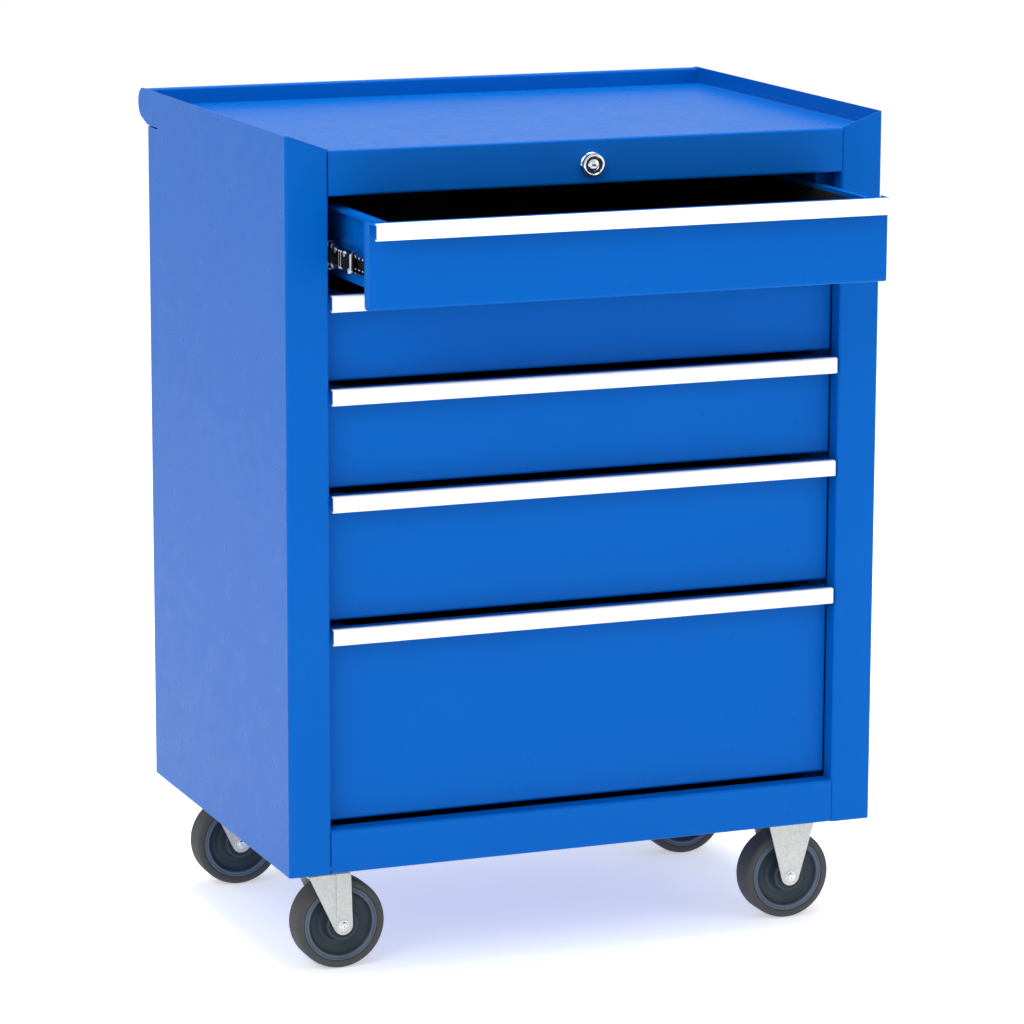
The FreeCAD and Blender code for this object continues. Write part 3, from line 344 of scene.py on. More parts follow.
def outline(name: str, points: Sequence[Vector], closed: bool, filled: bool = False) -> Piece:
    """A drawn line: one vertex, extruded from point to point.

    Args:
        name: the piece's name.
        points: the line's points, in metres.
        closed: join the last point to the first.
        filled: give a closed line a face.

    Returns:
        The piece, in object mode.
    """
    bpy.ops.object.select_all(action="DESELECT")
    bpy.ops.mesh.primitive_plane_add(size=MM, location=points[0])
    piece = bpy.context.object
    piece.name = piece.data.name = name
    bpy.ops.object.transform_apply(location=True, rotation=True, scale=True)
    with editing(piece, everything=True):
        bpy.ops.mesh.select_mode(type="VERT")
        bpy.ops.mesh.merge(type="CENTER")
        at = points[0]
        for point in [*points[1:], *points[:1 if closed else 0]]:
            bpy.ops.mesh.extrude_vertices_move(TRANSFORM_OT_translate={"value": point - at})
            at = point
        bpy.ops.mesh.select_all(action="SELECT")
        bpy.ops.mesh.remove_doubles(threshold=TINY)
        if filled:
            bpy.ops.mesh.edge_face_add()
    return piece


def tidy_normals(piece: Piece) -> None:
    """Merge doubles and turn every face outwards."""
    with editing(piece, everything=True):
        bpy.ops.mesh.remove_doubles(threshold=TINY)
        bpy.ops.mesh.normals_make_consistent(inside=False)


def round_corners(piece: Piece, corners: Sequence[Vector], radius: float, steps: int) -> None:
    """Round some corners of a flat face.

    Args:
        piece: the piece that holds the face.
        corners: the corners' places.
        radius: the length taken off along each side, in metres.
        steps: pieces of each rounding.
    """
    with editing(piece):
        pick(piece, lambda at: any((at - c).length < SAME_CORNER for c in corners))
        bpy.ops.mesh.bevel(offset=radius, segments=steps, affect="VERTICES")


def push(piece: Piece, run: Vector) -> None:
    """Extrude everything in a flat piece along a run, and close the result."""
    with editing(piece, everything=True):
        bpy.ops.mesh.extrude_region_move(TRANSFORM_OT_translate={"value": run})
    tidy_normals(piece)


def spin(piece: Piece, centre: Vector, axis: Axis, steps: int) -> None:
    """Turn a drawn line once about an axis."""
    with editing(piece, everything=True):
        bpy.ops.mesh.spin(steps=steps, angle=FULL_TURN, center=centre, axis=axis.value)
    tidy_normals(piece)


def soften(piece: Piece, width: float) -> None:
    """Round the piece's sharp edges by a width in millimetres."""
    only(piece)
    bevel = piece.modifiers.new("soft_edges", "BEVEL")
    bevel.width = width * MM
    bevel.segments = SOFT_STEPS
    bevel.limit_method = "ANGLE"
    bevel.angle_limit = math.radians(SOFT_ANGLE)
    bpy.ops.object.modifier_apply(modifier=bevel.name)


def carve(piece: Piece, *cutters: Piece) -> None:
    """Cut other pieces' shapes out of a piece, and remove them."""
    for cutter in cutters:
        only(piece)
        cut = piece.modifiers.new("cut", "BOOLEAN")
        cut.operation = "DIFFERENCE"
        cut.object = cutter
        bpy.ops.object.modifier_apply(modifier=cut.name)
        bpy.data.objects.remove(cutter)


def join(name: str, pieces: Sequence[Piece]) -> Piece:
    """Make several pieces one, under a new name."""
    bpy.ops.object.select_all(action="DESELECT")
    for piece in pieces:
        piece.select_set(True)
    bpy.context.view_layer.objects.active = pieces[0]
    if len(pieces) > 1:
        bpy.ops.object.join()
    pieces[0].name = pieces[0].data.name = name
    return pieces[0]


def copy(piece: Piece, name: str, shift: Vector, flip: Axis | None = None) -> Piece:
    """A copy with its own mesh, moved, and mirrored about the chest's middle if asked.

    Args:
        piece: the piece to copy.
        name: the copy's name.
        shift: how far the copy moves.
        flip: the axis along which it is mirrored first.

    Returns:
        The copy.
    """
    only(piece)
    bpy.ops.object.duplicate()
    other = bpy.context.object
    other.name = other.data.name = name
    if flip:
        other.scale = [1 - 2 * part for part in flip.value]
    other.location = shift
    bpy.ops.object.transform_apply(location=True, rotation=True, scale=True)
    if flip:
        tidy_normals(other)
    return other


def block(name: str, low: Vector, high: Vector, edge: float = 0.3) -> Piece:
    """A bar or plate between two corners, with softened edges of a size in millimetres."""
    corners = [Vector((x, y, low.z)) for x, y in ((low.x, low.y), (high.x, low.y),
                                                  (high.x, high.y), (low.x, high.y))]
    piece = outline(name, corners, closed=True, filled=True)
    push(piece, Vector((0, 0, high.z - low.z)))
    if edge:
        soften(piece, edge)
    return piece


def bars(name: str, root: Vector, corners: Corners, edge: float,
         web: float = 0.0) -> list[Piece]:
    """Bars between pairs of corners.

    Args:
        name: the pieces' name.
        root: the point that the corners are counted from.
        corners: each bar's low and high corner, in millimetres.
        edge: the size of the softened edges, in millimetres.
        web: a sideways place in millimetres that the corners are counted from too.

    Returns:
        The bars.
    """
    pieces = []
    for pair in corners:
        low, high = (root + vec(web + x, y, z) for x, y, z in pair)
        pieces.append(block(name, low, high, edge))
    return pieces


def turned(name: str, profile: Sequence[Point], centre: Vector, axis: Axis,
           steps: int = 64, ring: bool = False) -> Piece:
    """A piece turned on a lathe.

    Args:
        name: the piece's name.
        profile: radius and position along the axis of each point, in millimetres.
        centre: the point on the axis that the positions are counted from.
        axis: the axis.
        steps: facets around the piece.
        ring: the profile is a closed loop away from the axis.

    Returns:
        The piece.
    """
    along = Vector(axis.value)
    out = Vector(Axis.X.value) if axis is Axis.Z else Vector(Axis.Z.value)
    points = [centre + out * (r * MM) + along * (a * MM) for r, a in profile]
    piece = outline(name, points, ring)
    spin(piece, centre, axis, steps)
    return piece


def offset_line(path: Sequence[Point], distance: float) -> list[Point]:
    """A line beside a path of straight runs, on its left for a positive distance."""
    result = []
    for i, (u, v) in enumerate(path):
        ways = []
        for j in (i - 1, i):
            if 0 <= j < len(path) - 1:
                du, dv = path[j + 1][0] - path[j][0], path[j + 1][1] - path[j][1]
                size = math.hypot(du, dv)
                ways.append((-dv / size, du / size))
        if len(ways) == 1:
            nu, nv = ways[0]
        else:
            share = 1 + ways[0][0] * ways[1][0] + ways[0][1] * ways[1][1]
            nu, nv = ((ways[0][k] + ways[1][k]) / share for k in (0, 1))
        result.append((u + nu * distance, v + nv * distance))
    return result


def folded(name: str, path: Sequence[Point], thickness: float, bends: Sequence[float],
           place: Callable[[float, float], Vector], run: Vector, steps: int = 4) -> Piece:
    """Sheet metal folded along a path of straight runs.

    Args:
        name: the piece's name.
        path: the sheet's outer face, seen end on, in millimetres.
        thickness: the sheet's, in millimetres; positive lies on the path's left.
        bends: inside radius of each bend, in millimetres; the last one serves the rest.
        place: turns a point of the path into a point in the chest's frame.
        run: the sheet's length along its bends, in metres.
        steps: facets of each bend.

    Returns:
        The piece.
    """
    other = offset_line(path, thickness)
    piece = outline(name, [place(*p) for p in (*path, *reversed(other))],
                    closed=True, filled=True)
    for i in range(1, len(path) - 1):
        (u0, v0), (u1, v1), (u2, v2) = path[i - 1:i + 2]
        left = (u1 - u0) * (v2 - v1) - (v1 - v0) * (u2 - u1) > 0
        inner, outer = (other[i], path[i]) if left == (thickness > 0) else (path[i], other[i])
        radius = bends[min(i, len(bends)) - 1]
        round_corners(piece, [place(*inner)], radius * MM, steps)
        round_corners(piece, [place(*outer)], (radius + abs(thickness)) * MM, steps)
    push(piece, run)
    return piece


@dataclass
class Builder:
    """What every sub-assembly shares: dressing a piece and handing it over."""

    smooth_angle: float = 32.0

    def hand_over(self, piece: Piece, finish: Finish, body: str, *replaced: str) -> Piece:
        """Smooth a piece, give it its finish, and fix it to its body.

        Args:
            piece: the finished piece.
            finish: its finish.
            body: the body that it moves with.
            replaced: CAD nodes that it stands for.

        Returns:
            The piece.
        """
        only(piece)
        bpy.ops.object.shade_smooth_by_angle(angle=math.radians(self.smooth_angle))
        piece.data.materials.clear()
        piece.data.materials.append(finish.material())
        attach(piece, body)
        if replaced:
            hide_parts(*replaced)
        LOG.info("%s rides on %s", piece.name, body)
        return piece


# --- Cabinet shell ---

@dataclass
class Shell(Builder):
    """The folded cabinet: painted sheet-metal panels and the rolled push handle."""

    sheet: float = 1.2
    handle_front: float = 301.1
    handle_back: float = 323.1
    handle_top: float = 909.2
    handle_low: float = 877.2
    handle_curl: float = 17.0
    wall_bend: float = 2.0
    roll_bend: float = 14.3
    rivet_dome: Profile = ((0.0, 1.3), (1.6, 1.17), (2.72, 0.65), (3.2, 0.0), (1.92, -0.5),
                           (0.0, -0.5))
    rivet_edge: float = 12.0
    rivet_foot: float = 40.0
    rivet_pitch: float = 88.0
    rivet_count: int = 8
    painted: tuple[str, ...] = ("side_panel_left", "side_panel_right", "back_panel",
                                "top_tray", "front_top_rail", "front_bottom_rail",
                                "base_panel", "slide_uprights")

    def paint_panels(self) -> None:
        """Give the folded panels their powder coat."""
        for name in self.painted:
            dress(name, BLUE_PAINT)

    def push_handle(self) -> None:
        """Roll the back wall of the tray over into the push handle."""
        low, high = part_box("push_handle")
        path = [(self.handle_front, low.z / MM), (self.handle_front, self.handle_top),
                (self.handle_back, self.handle_top), (self.handle_back, self.handle_low),
                (self.handle_back - self.handle_curl, self.handle_low)]
        piece = folded("rolled_push_handle", path, -self.sheet,
                       (self.wall_bend, self.roll_bend, self.roll_bend),
                       lambda y, z: Vector((low.x, y * MM, z * MM)),
                       Vector((high.x - low.x, 0, 0)), steps=12)
        self.hand_over(piece, BLUE_PAINT, "cabinet", "push_handle")

    def back_rivets(self) -> None:
        """Rivet the back panel to the side panels' flanges."""
        low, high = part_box("back_panel")
        rear = high.y + self.sheet * MM
        first = turned("rivet", self.rivet_dome, Vector((0, rear, 0)), Axis.Y, steps=16)
        rivets = []
        for side in (-1, 1):
            x = side * (high.x - self.rivet_edge * MM)
            for k in range(self.rivet_count):
                z = low.z + self.rivet_foot * MM + k * self.rivet_pitch * MM
                rivets.append(copy(first, "rivet_copy", Vector((x, 0, z))))
        bpy.data.objects.remove(first)
        self.hand_over(join("back_rivets", rivets), BLUE_PAINT, "cabinet")

    def build(self) -> None:
        """Make and dress the whole shell."""
        self.paint_panels()
        self.push_handle()
        self.back_rivets()


def dress(node: str, finish: Finish) -> None:
    """Give a CAD node a finish."""
    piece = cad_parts[node]
    piece.data.materials.clear()
    piece.data.materials.append(finish.material())
    LOG.info("%s is dressed", node)


# --- Drawers ---

@dataclass
class Drawer(Builder):
    """One drawer: painted box and front, white handle trim, rim beads, and a black lining that
    paints the shade inside it.
    """

    number: int = 1
    trim_sheet: float = 1.5
    trim_bend: float = 0.6
    trim_edge: float = 0.3
    box_sheet: float = 1.0
    bead_width: float = 1.6
    bead_height: float = 0.7
    bead_sink: float = 0.2
    bead_edge: float = 0.3
    hem_width: float = 8.0
    liner: float = 2.5
    liner_gap: float = 1.2
    liner_wall: float = 0.8
    liner_drop: float = 4.0
    liner_edge: float = 0.2
    catch_clear: float = 40.0

    @property
    def body(self) -> str:
        """The body that the drawer's pieces move with."""
        return f"drawer_{self.number}"

    def trim(self) -> None:
        """Fold the white handle trim, and close its ends."""
        node = f"drawer_trim_{self.number}"
        low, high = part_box(node)
        front, back, top, foot = low.y / MM, high.y / MM, high.z / MM, low.z / MM
        path = [(back, top), (front, top), (front, foot), (back, foot)]
        piece = folded(f"handle_trim_{self.number}", path, self.trim_sheet, (self.trim_bend,),
                       lambda y, z: Vector((low.x, y * MM, z * MM)),
                       Vector((high.x - low.x, 0, 0)))
        soften(piece, self.trim_edge)
        self.hand_over(piece, TRIM_WHITE, self.body, node)

    def rim_beads(self) -> None:
        """Lay a raised bead round the top edge of the drawer box."""
        low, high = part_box(f"drawer_box_{self.number}")
        width, height = self.bead_width * MM, self.bead_height * MM
        left, right = low.x + self.hem_width * MM, high.x - self.hem_width * MM
        spans = [((left, low.y), (left + width, high.y)),
                 ((right - width, low.y), (right, high.y)),
                 ((left, low.y), (right, low.y + width)),
                 ((left, high.y - width), (right, high.y))]
        sunk = high.z - self.bead_sink * MM
        beads = [block("bead", Vector((*a, sunk)), Vector((*b, high.z + height)),
                       self.bead_edge) for a, b in spans]
        self.hand_over(join(f"rim_bead_{self.number}", beads), DRAWER_BLUE, self.body)

    def paint_inner_shade(self) -> None:
        """Line the drawer's floor and walls with a black sheet, painted shade for the dark
        inside of the drawer.
        """
        low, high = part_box(f"drawer_box_{self.number}")
        inset, sheet = self.liner_gap * MM, self.box_sheet * MM
        left, right = low.x + self.hem_width * MM + sheet, high.x - self.hem_width * MM - sheet
        front, back = low.y + sheet, high.y - sheet
        floor, rim = low.z + sheet, high.z - self.liner_drop * MM
        thin = self.liner_wall * MM
        spans = [((left + inset, front + inset, floor),
                  (right - inset, back - self.catch_clear * MM, floor + self.liner * MM)),
                 ((left, front, floor), (left + thin, back, rim)),
                 ((right - thin, front, floor), (right, back, rim)),
                 ((left + thin, front, floor), (right - thin, front + thin, rim)),
                 ((left + thin, back - thin, floor), (right - thin, back, rim))]
        parts = [block("liner", Vector(a), Vector(b), self.liner_edge) for a, b in spans]
        self.hand_over(join(f"drawer_liner_{self.number}", parts), SHADE_LINER_BLACK, self.body)

    def build(self) -> None:
        """Make and dress the whole drawer."""
        dress(f"drawer_box_{self.number}", DRAWER_BLUE)
        dress(f"drawer_front_{self.number}", DRAWER_BLUE)
        self.trim()
        self.rim_beads()
        self.paint_inner_shade()


# --- Ball-bearing slides ---

@dataclass
class Slides(Builder):
    """The slides of all five drawers; one of each member is made and the rest are copies."""

    drawers: tuple[int, ...] = (1, 2, 3, 4, 5)
    sheet: float = 1.2
    bend: float = 0.9
    lip: float = 1.7
    web_outer: float = 282.2
    middle_inset: float = 2.6
    outer_reach: float = 9.2
    middle_reach: float = 7.6
    inner_web: float = 269.5
    inner_reach: float = 7.9
    outer_half: float = 15.0
    middle_half: float = 12.6
    inner_half: float = 10.2
    bend_steps: int = 3
    lip_bend: float = 0.3
    rivet_dome: Profile = ((0.0, 0.9), (0.6, 0.8), (0.92, 0.4), (1.0, 0.0), (1.0, -0.4),
                           (0.0, -0.4))
    ball: Profile = ((0.0, -1.5), (1.06, -1.06), (1.5, 0.0), (1.06, 1.06), (0.0, 1.5))
    ball_pitch: float = 11.0
    ball_count: int = 12
    ball_seat: float = 2.6
    cage_half: float = 7.8
    cage_start: float = 30.0
    cage_cap: float = 4.0
    cage_sheet: float = 3.2
    cage_edge: float = 3.4
    cage_round: float = 0.8
    bracket_path: Profile = ((5.0, 0.6), (0.0, 0.6), (0.0, 9.5), (2.5, 9.5))
    bracket_sheet: float = 1.0
    bracket_bend: float = 0.6
    bracket_half: float = 10.4
    stud_radius: float = 1.9
    studs: tuple[Triple, ...] = ((3.2, 6.0, 7.2), (3.2, 6.0, -7.2))
    lever_bar: Corners = (((0.0, 12.0, -3.2), (3.6, 26.0, 3.2)),)
    lever_round: float = 1.0
    buffer_bars: Corners = (((-2.2, 0.5, -9.0), (0.0, 14.0, 9.0)),
                            ((-2.2, 0.5, -10.8), (0.0, 9.0, -8.2)),
                            ((-2.2, 0.5, 8.2), (0.0, 9.0, 10.8)))
    buffer_round: float = 0.7
    strip_bar: Corners = (((0.0, 4.0, -8.0), (0.8, 66.0, 8.0)),)
    rib_bars: Corners = (((0.0, 1.2, -9.4), (0.9, 3.2, 9.4)),
                         ((0.0, 30.0, -9.4), (0.9, 31.6, 9.4)),
                         ((0.0, 36.0, -9.4), (0.9, 37.0, 9.4)))
    strip_round: float = 0.3
    eyelet: Profile = ((1.5, 0.0), (2.9, 0.0), (2.9, 0.9), (1.5, 0.9))
    eyelet_places: Profile = ((6.0, -8.4), (20.0, 7.6), (48.0, 7.6))
    stop_radius: float = 2.0
    stop_places: Profile = ((6.0, 10.2), (6.0, -10.2))

    def rail(self, name: str, web: float, reach: float, half: float, length: float) -> Piece:
        """One channel on the right-hand side, with ball races turned in along its edges.

        Args:
            name: the piece's name.
            web: how far the channel's web is from the chest's middle.
            reach: from the web to the open side, negative towards the middle.
            half: half its height.
            length: its length in metres.

        Returns:
            The piece.
        """
        edge = web + reach
        path = [(edge, half - self.lip), (edge, half), (web, half), (web, -half),
                (edge, -half), (edge, -half + self.lip)]
        thickness = self.sheet if reach > 0 else -self.sheet
        bends = (self.lip_bend, self.bend, self.bend, self.lip_bend)
        return folded(name, path, thickness, bends, lambda x, z: Vector((x * MM, 0, z * MM)),
                      Vector((0, length, 0)), steps=self.bend_steps)

    def rivet(self, place: Vector, radius: float) -> Piece:
        """A domed rivet on the outer side of a web."""
        dome = [(radius * share, height) for share, height in self.rivet_dome]
        return turned("slide_rivet", dome, place, Axis.X, steps=16)

    def ball_cage(self) -> tuple[Piece, Piece]:
        """The black ball cage on the inner member, and its balls."""
        face = self.inner_web + self.sheet
        start = self.cage_start
        end = start + self.ball_count * self.ball_pitch + 2 * self.cage_cap
        cage = block("cage", vec(face, start, -self.cage_half),
                     vec(face + self.cage_sheet, end, self.cage_half), self.cage_round)
        half = self.cage_half - self.cage_edge
        groove = block("groove", vec(face + self.cage_sheet / 2, start + self.cage_cap, -half),
                       vec(face + self.cage_sheet + self.cage_round, end - self.cage_cap,
                           half), edge=0)
        carve(cage, groove)
        row = self.cage_half - self.cage_edge / 2
        first = vec(face + self.ball_seat, start + 2 * self.cage_cap, row)
        ball = turned("ball", self.ball, first, Axis.X, steps=10)
        balls = [copy(ball, "ball_copy", vec(0, k * self.ball_pitch, z))
                 for k in range(self.ball_count) for z in (0, -2 * row)]
        bpy.data.objects.remove(ball)
        return cage, join("balls", balls)

    def latch(self) -> tuple[Piece, Piece]:
        """The bright end bracket of the inner member, and its black release lever."""
        face = self.inner_web + self.sheet
        bracket = folded("bracket", self.bracket_path, self.bracket_sheet,
                         (self.bracket_bend,),
                         lambda u, v: vec(face + u, v, -self.bracket_half),
                         vec(0, 0, 2 * self.bracket_half), steps=self.bend_steps)
        lever = bars("lever", ORIGIN, self.lever_bar, self.lever_round, face)
        studs = [self.rivet(vec(face + x, y, z), self.stud_radius) for x, y, z in self.studs]
        return join("bracket", [bracket, *studs]), join("lever", lever)

    def buffer(self) -> Piece:
        """The black end buffer of the middle member, with its two horns."""
        face = self.web_outer - self.middle_inset - self.sheet
        parts = bars("buffer", ORIGIN, self.buffer_bars, self.buffer_round, face)
        return join("buffer", parts)

    def strip(self) -> tuple[Piece, Piece]:
        """The black ball strip on the middle member's outer side, and its steel ribs,
        near-white as painted glints.
        """
        face = self.web_outer - self.middle_inset
        strip = bars("strip", ORIGIN, self.strip_bar, self.strip_round, face)
        ribs = bars("rib", ORIGIN, self.rib_bars, self.strip_round, face)
        ribs += [turned("eyelet", self.eyelet, vec(face, y, z), Axis.X, steps=24, ring=True)
                 for y, z in self.eyelet_places]
        return join("strip", strip), join("ribs", ribs)

    def stop(self) -> Piece:
        """The two rivets at the outer member's front end, which stop the middle member."""
        face = self.web_outer - self.sheet
        return join("stop", [self.rivet(vec(face, y, z), self.stop_radius)
                             for y, z in self.stop_places])

    def both_sides(self, name: str, source: Piece, shift: Vector) -> Piece:
        """A right-hand piece and its mirror image, as one piece, moved by a shift."""
        right = copy(source, name + "_r", shift)
        left = copy(source, name + "_l", shift, Axis.X)
        return join(name, [right, left])

    def build(self) -> None:
        """Make one right-hand set, then copy it to every drawer and side."""
        low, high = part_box("slide_middle_1")
        length = high.y - low.y
        inner = self.rail("inner", self.inner_web, self.inner_reach, self.inner_half, length)
        middle = self.rail("middle", self.web_outer - self.middle_inset, -self.middle_reach,
                           self.middle_half, length)
        outer = self.rail("outer", self.web_outer, -self.outer_reach, self.outer_half, length)
        cage, balls = self.ball_cage()
        bracket, lever = self.latch()
        buffer = self.buffer()
        stop = self.stop()
        strip, ribs = self.strip()
        sources = (inner, middle, outer, cage, balls, bracket, lever, buffer, stop, strip, ribs)
        on_drawer = (("slide_inner_rail", inner, SLIDE_ZINC), ("slide_cage", cage, CAGE_BLACK),
                     ("slide_balls", balls, BALL_STEEL), ("slide_bracket", bracket, SLIDE_ZINC),
                     ("slide_lever", lever, CAGE_BLACK))
        on_carriage = (("slide_middle_rail", middle, SLIDE_ZINC),
                       ("slide_buffer", buffer, CAGE_BLACK),
                       ("slide_strip", strip, CAGE_BLACK), ("slide_ribs", ribs, RIB_STEEL_GLINT))
        outers = {-1: [], 1: []}
        for i in self.drawers:
            low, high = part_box(f"slide_inner_{i}")
            height = (low.z + high.z) / 2
            for node, body, parts in ((f"slide_inner_{i}", f"drawer_{i}", on_drawer),
                                      (f"slide_middle_{i}", f"slide_{i}", on_carriage)):
                at = Vector((0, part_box(node)[0].y, height))
                for name, source, finish in parts:
                    piece = self.both_sides(f"{name}_{i}", source, at)
                    nodes = [node] if source in (inner, middle) else []
                    self.hand_over(piece, finish, body, *nodes)
            at = Vector((0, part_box("slide_outer_left")[0].y, height))
            for side, flip in ((1, None), (-1, Axis.X)):
                outers[side] += [copy(outer, "outer_copy", at, flip),
                                 copy(stop, "stop_copy", at, flip)]
        for side, label in ((-1, "left"), (1, "right")):
            piece = join(f"slide_outer_rails_{label}", outers[side])
            self.hand_over(piece, SLIDE_ZINC, "cabinet", f"slide_outer_{label}")
        for source in sources:
            bpy.data.objects.remove(source)


# --- Cam lock ---

@dataclass
class CamLock(Builder):
    """Stepped chrome bezel with painted shade in its recess, turning plug with its key slot,
    and the bar.
    """

    bezel: Profile = ((7.05, -5.5), (9.1, -5.5), (9.4, -8.3), (9.9, -8.9), (11.1, -9.0),
                      (11.9, -8.65), (12.2, -7.9), (12.2, -4.4), (11.7, -4.0),
                      (11.7, -3.5), (12.4, -3.2), (13.0, -2.5), (13.0, -0.4),
                      (12.6, 0.0), (10.0, 0.0), (10.0, 22.0), (7.05, 22.0))
    recess: Profile = ((7.05, -5.7), (9.05, -5.7), (9.05, -5.3), (7.05, -5.3))
    plug: Profile = ((0.0, -7.5), (4.3, -7.5), (5.4, -7.35), (6.2, -6.9), (6.6, -6.1),
                     (6.6, 21.8), (0.0, 21.8))
    collar: Profile = ((-3.6, -2.0), (3.6, -2.0), (3.6, 0.6), (2.2, 2.9), (-2.2, 2.9),
                       (-3.6, 0.6))
    collar_front: float = -8.0
    collar_depth: float = 1.2
    collar_bend: float = 0.9
    collar_edge: float = 0.15
    key_slot: Corners = (((-2.3, -12.0, -1.0), (2.3, 6.0, 1.0)),)

    def bezel_ring(self, centre: Vector) -> None:
        """Turn the stepped bezel with its threaded barrel, and a dark ring on its recess floor
        as painted shade.
        """
        piece = turned("lock_bezel", self.bezel, centre, Axis.Y, steps=72, ring=True)
        self.hand_over(piece, CHROME, "cabinet", "lock_housing")
        # The dark ring laid on the recess floor is painted shade of the recess.
        ring = turned("lock_recess", self.recess, centre, Axis.Y, steps=72, ring=True)
        self.hand_over(ring, LOCK_RECESS_SHADE, "cabinet")

    def plug_body(self, centre: Vector) -> None:
        """Turn the plug, and cut its key slot inside a raised collar."""
        piece = turned("lock_plug_face", self.plug, centre, Axis.Y, steps=64)
        carve(piece, *bars("key_slot", centre, self.key_slot, edge=0))
        self.hand_over(piece, CHROME, "lock_cylinder", "lock_plug")
        points = [centre + vec(x, self.collar_front, z) for x, z in self.collar]
        collar = outline("key_collar", points, closed=True, filled=True)
        round_corners(collar, points[2:], self.collar_bend * MM, steps=3)
        push(collar, vec(0, self.collar_depth, 0))
        carve(collar, *bars("key_slot", centre, self.key_slot, edge=0))
        soften(collar, self.collar_edge)
        self.hand_over(collar, CHROME, "lock_cylinder")

    def build(self) -> None:
        """Make and dress the lock."""
        low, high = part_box("lock_housing")
        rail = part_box("front_top_rail")[0].y
        centre = Vector(((low.x + high.x) / 2, rail, (low.z + high.z) / 2))
        self.bezel_ring(centre)
        self.plug_body(centre)
        for node in ("lock_nut", "lock_shaft", "lock_bar", "lock_bar_guides"):
            dress(node, ZINC)


# --- Casters ---

LEG_FACE = 23.5       # millimetres from a wheel's middle to a leg's outer face


def middle_of(node: str) -> Vector:
    """The middle of a CAD node's box."""
    low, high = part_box(node)
    return (low + high) / 2


def both_ends(half: Sequence[Point]) -> list[Point]:
    """A profile from its front half: the half, then its mirror image backwards."""
    return [*half, *((r, -a) for r, a in reversed(half))]


@dataclass
class Wheel(Builder):
    """One wheel: rubber tyre, raised rim ring, and dished centre darkened with painted shade.
    """

    name: str = "wheel"
    tread_facets: int = 96
    web_facets: int = 80
    tyre: Profile = ((41.5, -14.0), (42.0, -15.3), (43.2, -15.9), (45.6, -16.0),
                               (47.4, -15.7), (48.7, -14.9), (49.5, -13.6), (49.9, -11.6),
                               (50.0, -8.0))
    rim: Profile = ((35.6, -11.5), (35.7, -13.6), (36.1, -14.9), (36.9, -15.5),
                              (38.2, -15.5), (38.7, -15.0), (38.9, -14.7), (39.2, -15.0),
                              (39.7, -15.6), (40.7, -15.6), (41.3, -15.1), (41.5, -14.0))
    centre: Profile = ((35.6, -12.6), (34.9, -11.0), (33.6, -9.4), (31.6, -8.2),
                                 (28.8, -7.5), (25.8, -7.2), (25.2, -6.9), (22.6, -6.7),
                                 (20.4, -7.2), (19.0, -8.8), (18.0, -12.0), (17.7, -17.6),
                                 (17.3, -18.9), (16.4, -19.6), (14.8, -19.7), (14.0, -19.1),
                                 (12.8, -18.4), (9.6, -18.3), (8.8, -19.2), (7.6, -19.8),
                                 (4.6, -19.9))

    def build(self) -> None:
        """Turn the three parts about the wheel's axle."""
        tyre_node = self.name.replace("wheel", "tyre")
        hub_node = self.name.replace("wheel", "wheel_hub")
        at = middle_of(tyre_node)
        for part, profile, steps, finish, nodes in (
                ("tyre", self.tyre, self.tread_facets, TYRE_RUBBER, [tyre_node]),
                ("rim", self.rim, self.tread_facets, RIM_PLASTIC, []),
                ("centre", self.centre, self.web_facets, WEB_PLASTIC_SHADED, [hub_node])):
            piece = turned(f"{self.name}_{part}", both_ends(profile), at, Axis.Y, steps,
                           ring=True)
            self.hand_over(piece, finish, self.name, *nodes)


@dataclass
class Leg:
    """One pressed leg of a caster bracket, drawn about its axle."""

    left: float
    right: float
    height: float = 0.0   # set by the caster, from the room above its axle
    end_radius: float = 10.5
    crease_left: float = -7.5
    crease_right: float | None = None
    step: float = 0.0
    lean: float = 5.0
    sheet: float = 1.8
    corner: float = 4.0
    end_steps: int = 18
    crease_width: float = 0.8
    hinge_slack: float = 0.2

    def edge_angle(self, reach: float) -> float:
        """Angle of the point where an edge that starts at a reach meets the round end."""
        return (math.atan2(self.height, reach)
                - math.acos(self.end_radius / math.hypot(self.height, reach)))

    def build(self, name: str, axle: Vector, side: int) -> Piece:
        """Draw, crease and thicken the leg.

        Args:
            name: the piece's name.
            axle: the axle's middle.
            side: -1 for the front leg, 1 for the rear one.

        Returns:
            The piece.
        """
        first, last = self.edge_angle(self.right), math.pi - self.edge_angle(self.left)
        sweep = FULL_TURN - (last - first)
        angles = [first - sweep * k / self.end_steps for k in range(self.end_steps + 1)]
        points = [(-self.left, self.height), (self.right, self.height)]
        points += [(self.end_radius * math.cos(a), self.end_radius * math.sin(a))
                   for a in angles]
        y = side * LEG_FACE
        piece = outline(name, [axle + vec(x, y, z) for x, z in points],
                        closed=True, filled=True)
        round_corners(piece, [axle + vec(self.right, y, self.height)], self.corner * MM,
                      steps=4)
        creases = [(self.crease_left, -1)]
        if self.crease_right is not None:
            creases.append((self.crease_right, 1))
        for crease, way in creases:
            start = crease + way * self.crease_width if self.step else crease
            hinge = axle + vec(start, y, 0)
            for x in (crease, start) if self.step else (crease,):
                with editing(piece, everything=True):
                    bpy.ops.mesh.bisect(plane_co=axle + vec(x, y, 0), plane_no=(1, 0, 0))
            with editing(piece):
                pick(piece, lambda at: way * (at.x - hinge.x) > -TINY)
                bpy.ops.transform.translate(value=vec(0, -side * self.step, 0))
            with editing(piece):
                pick(piece, lambda at: way * (at.x - hinge.x) > self.hinge_slack * MM)
                bpy.ops.transform.rotate(value=-way * side * math.radians(self.lean),
                                         orient_axis="Z", center_override=hinge)
        push(piece, vec(0, -side * self.sheet, 0))
        return piece


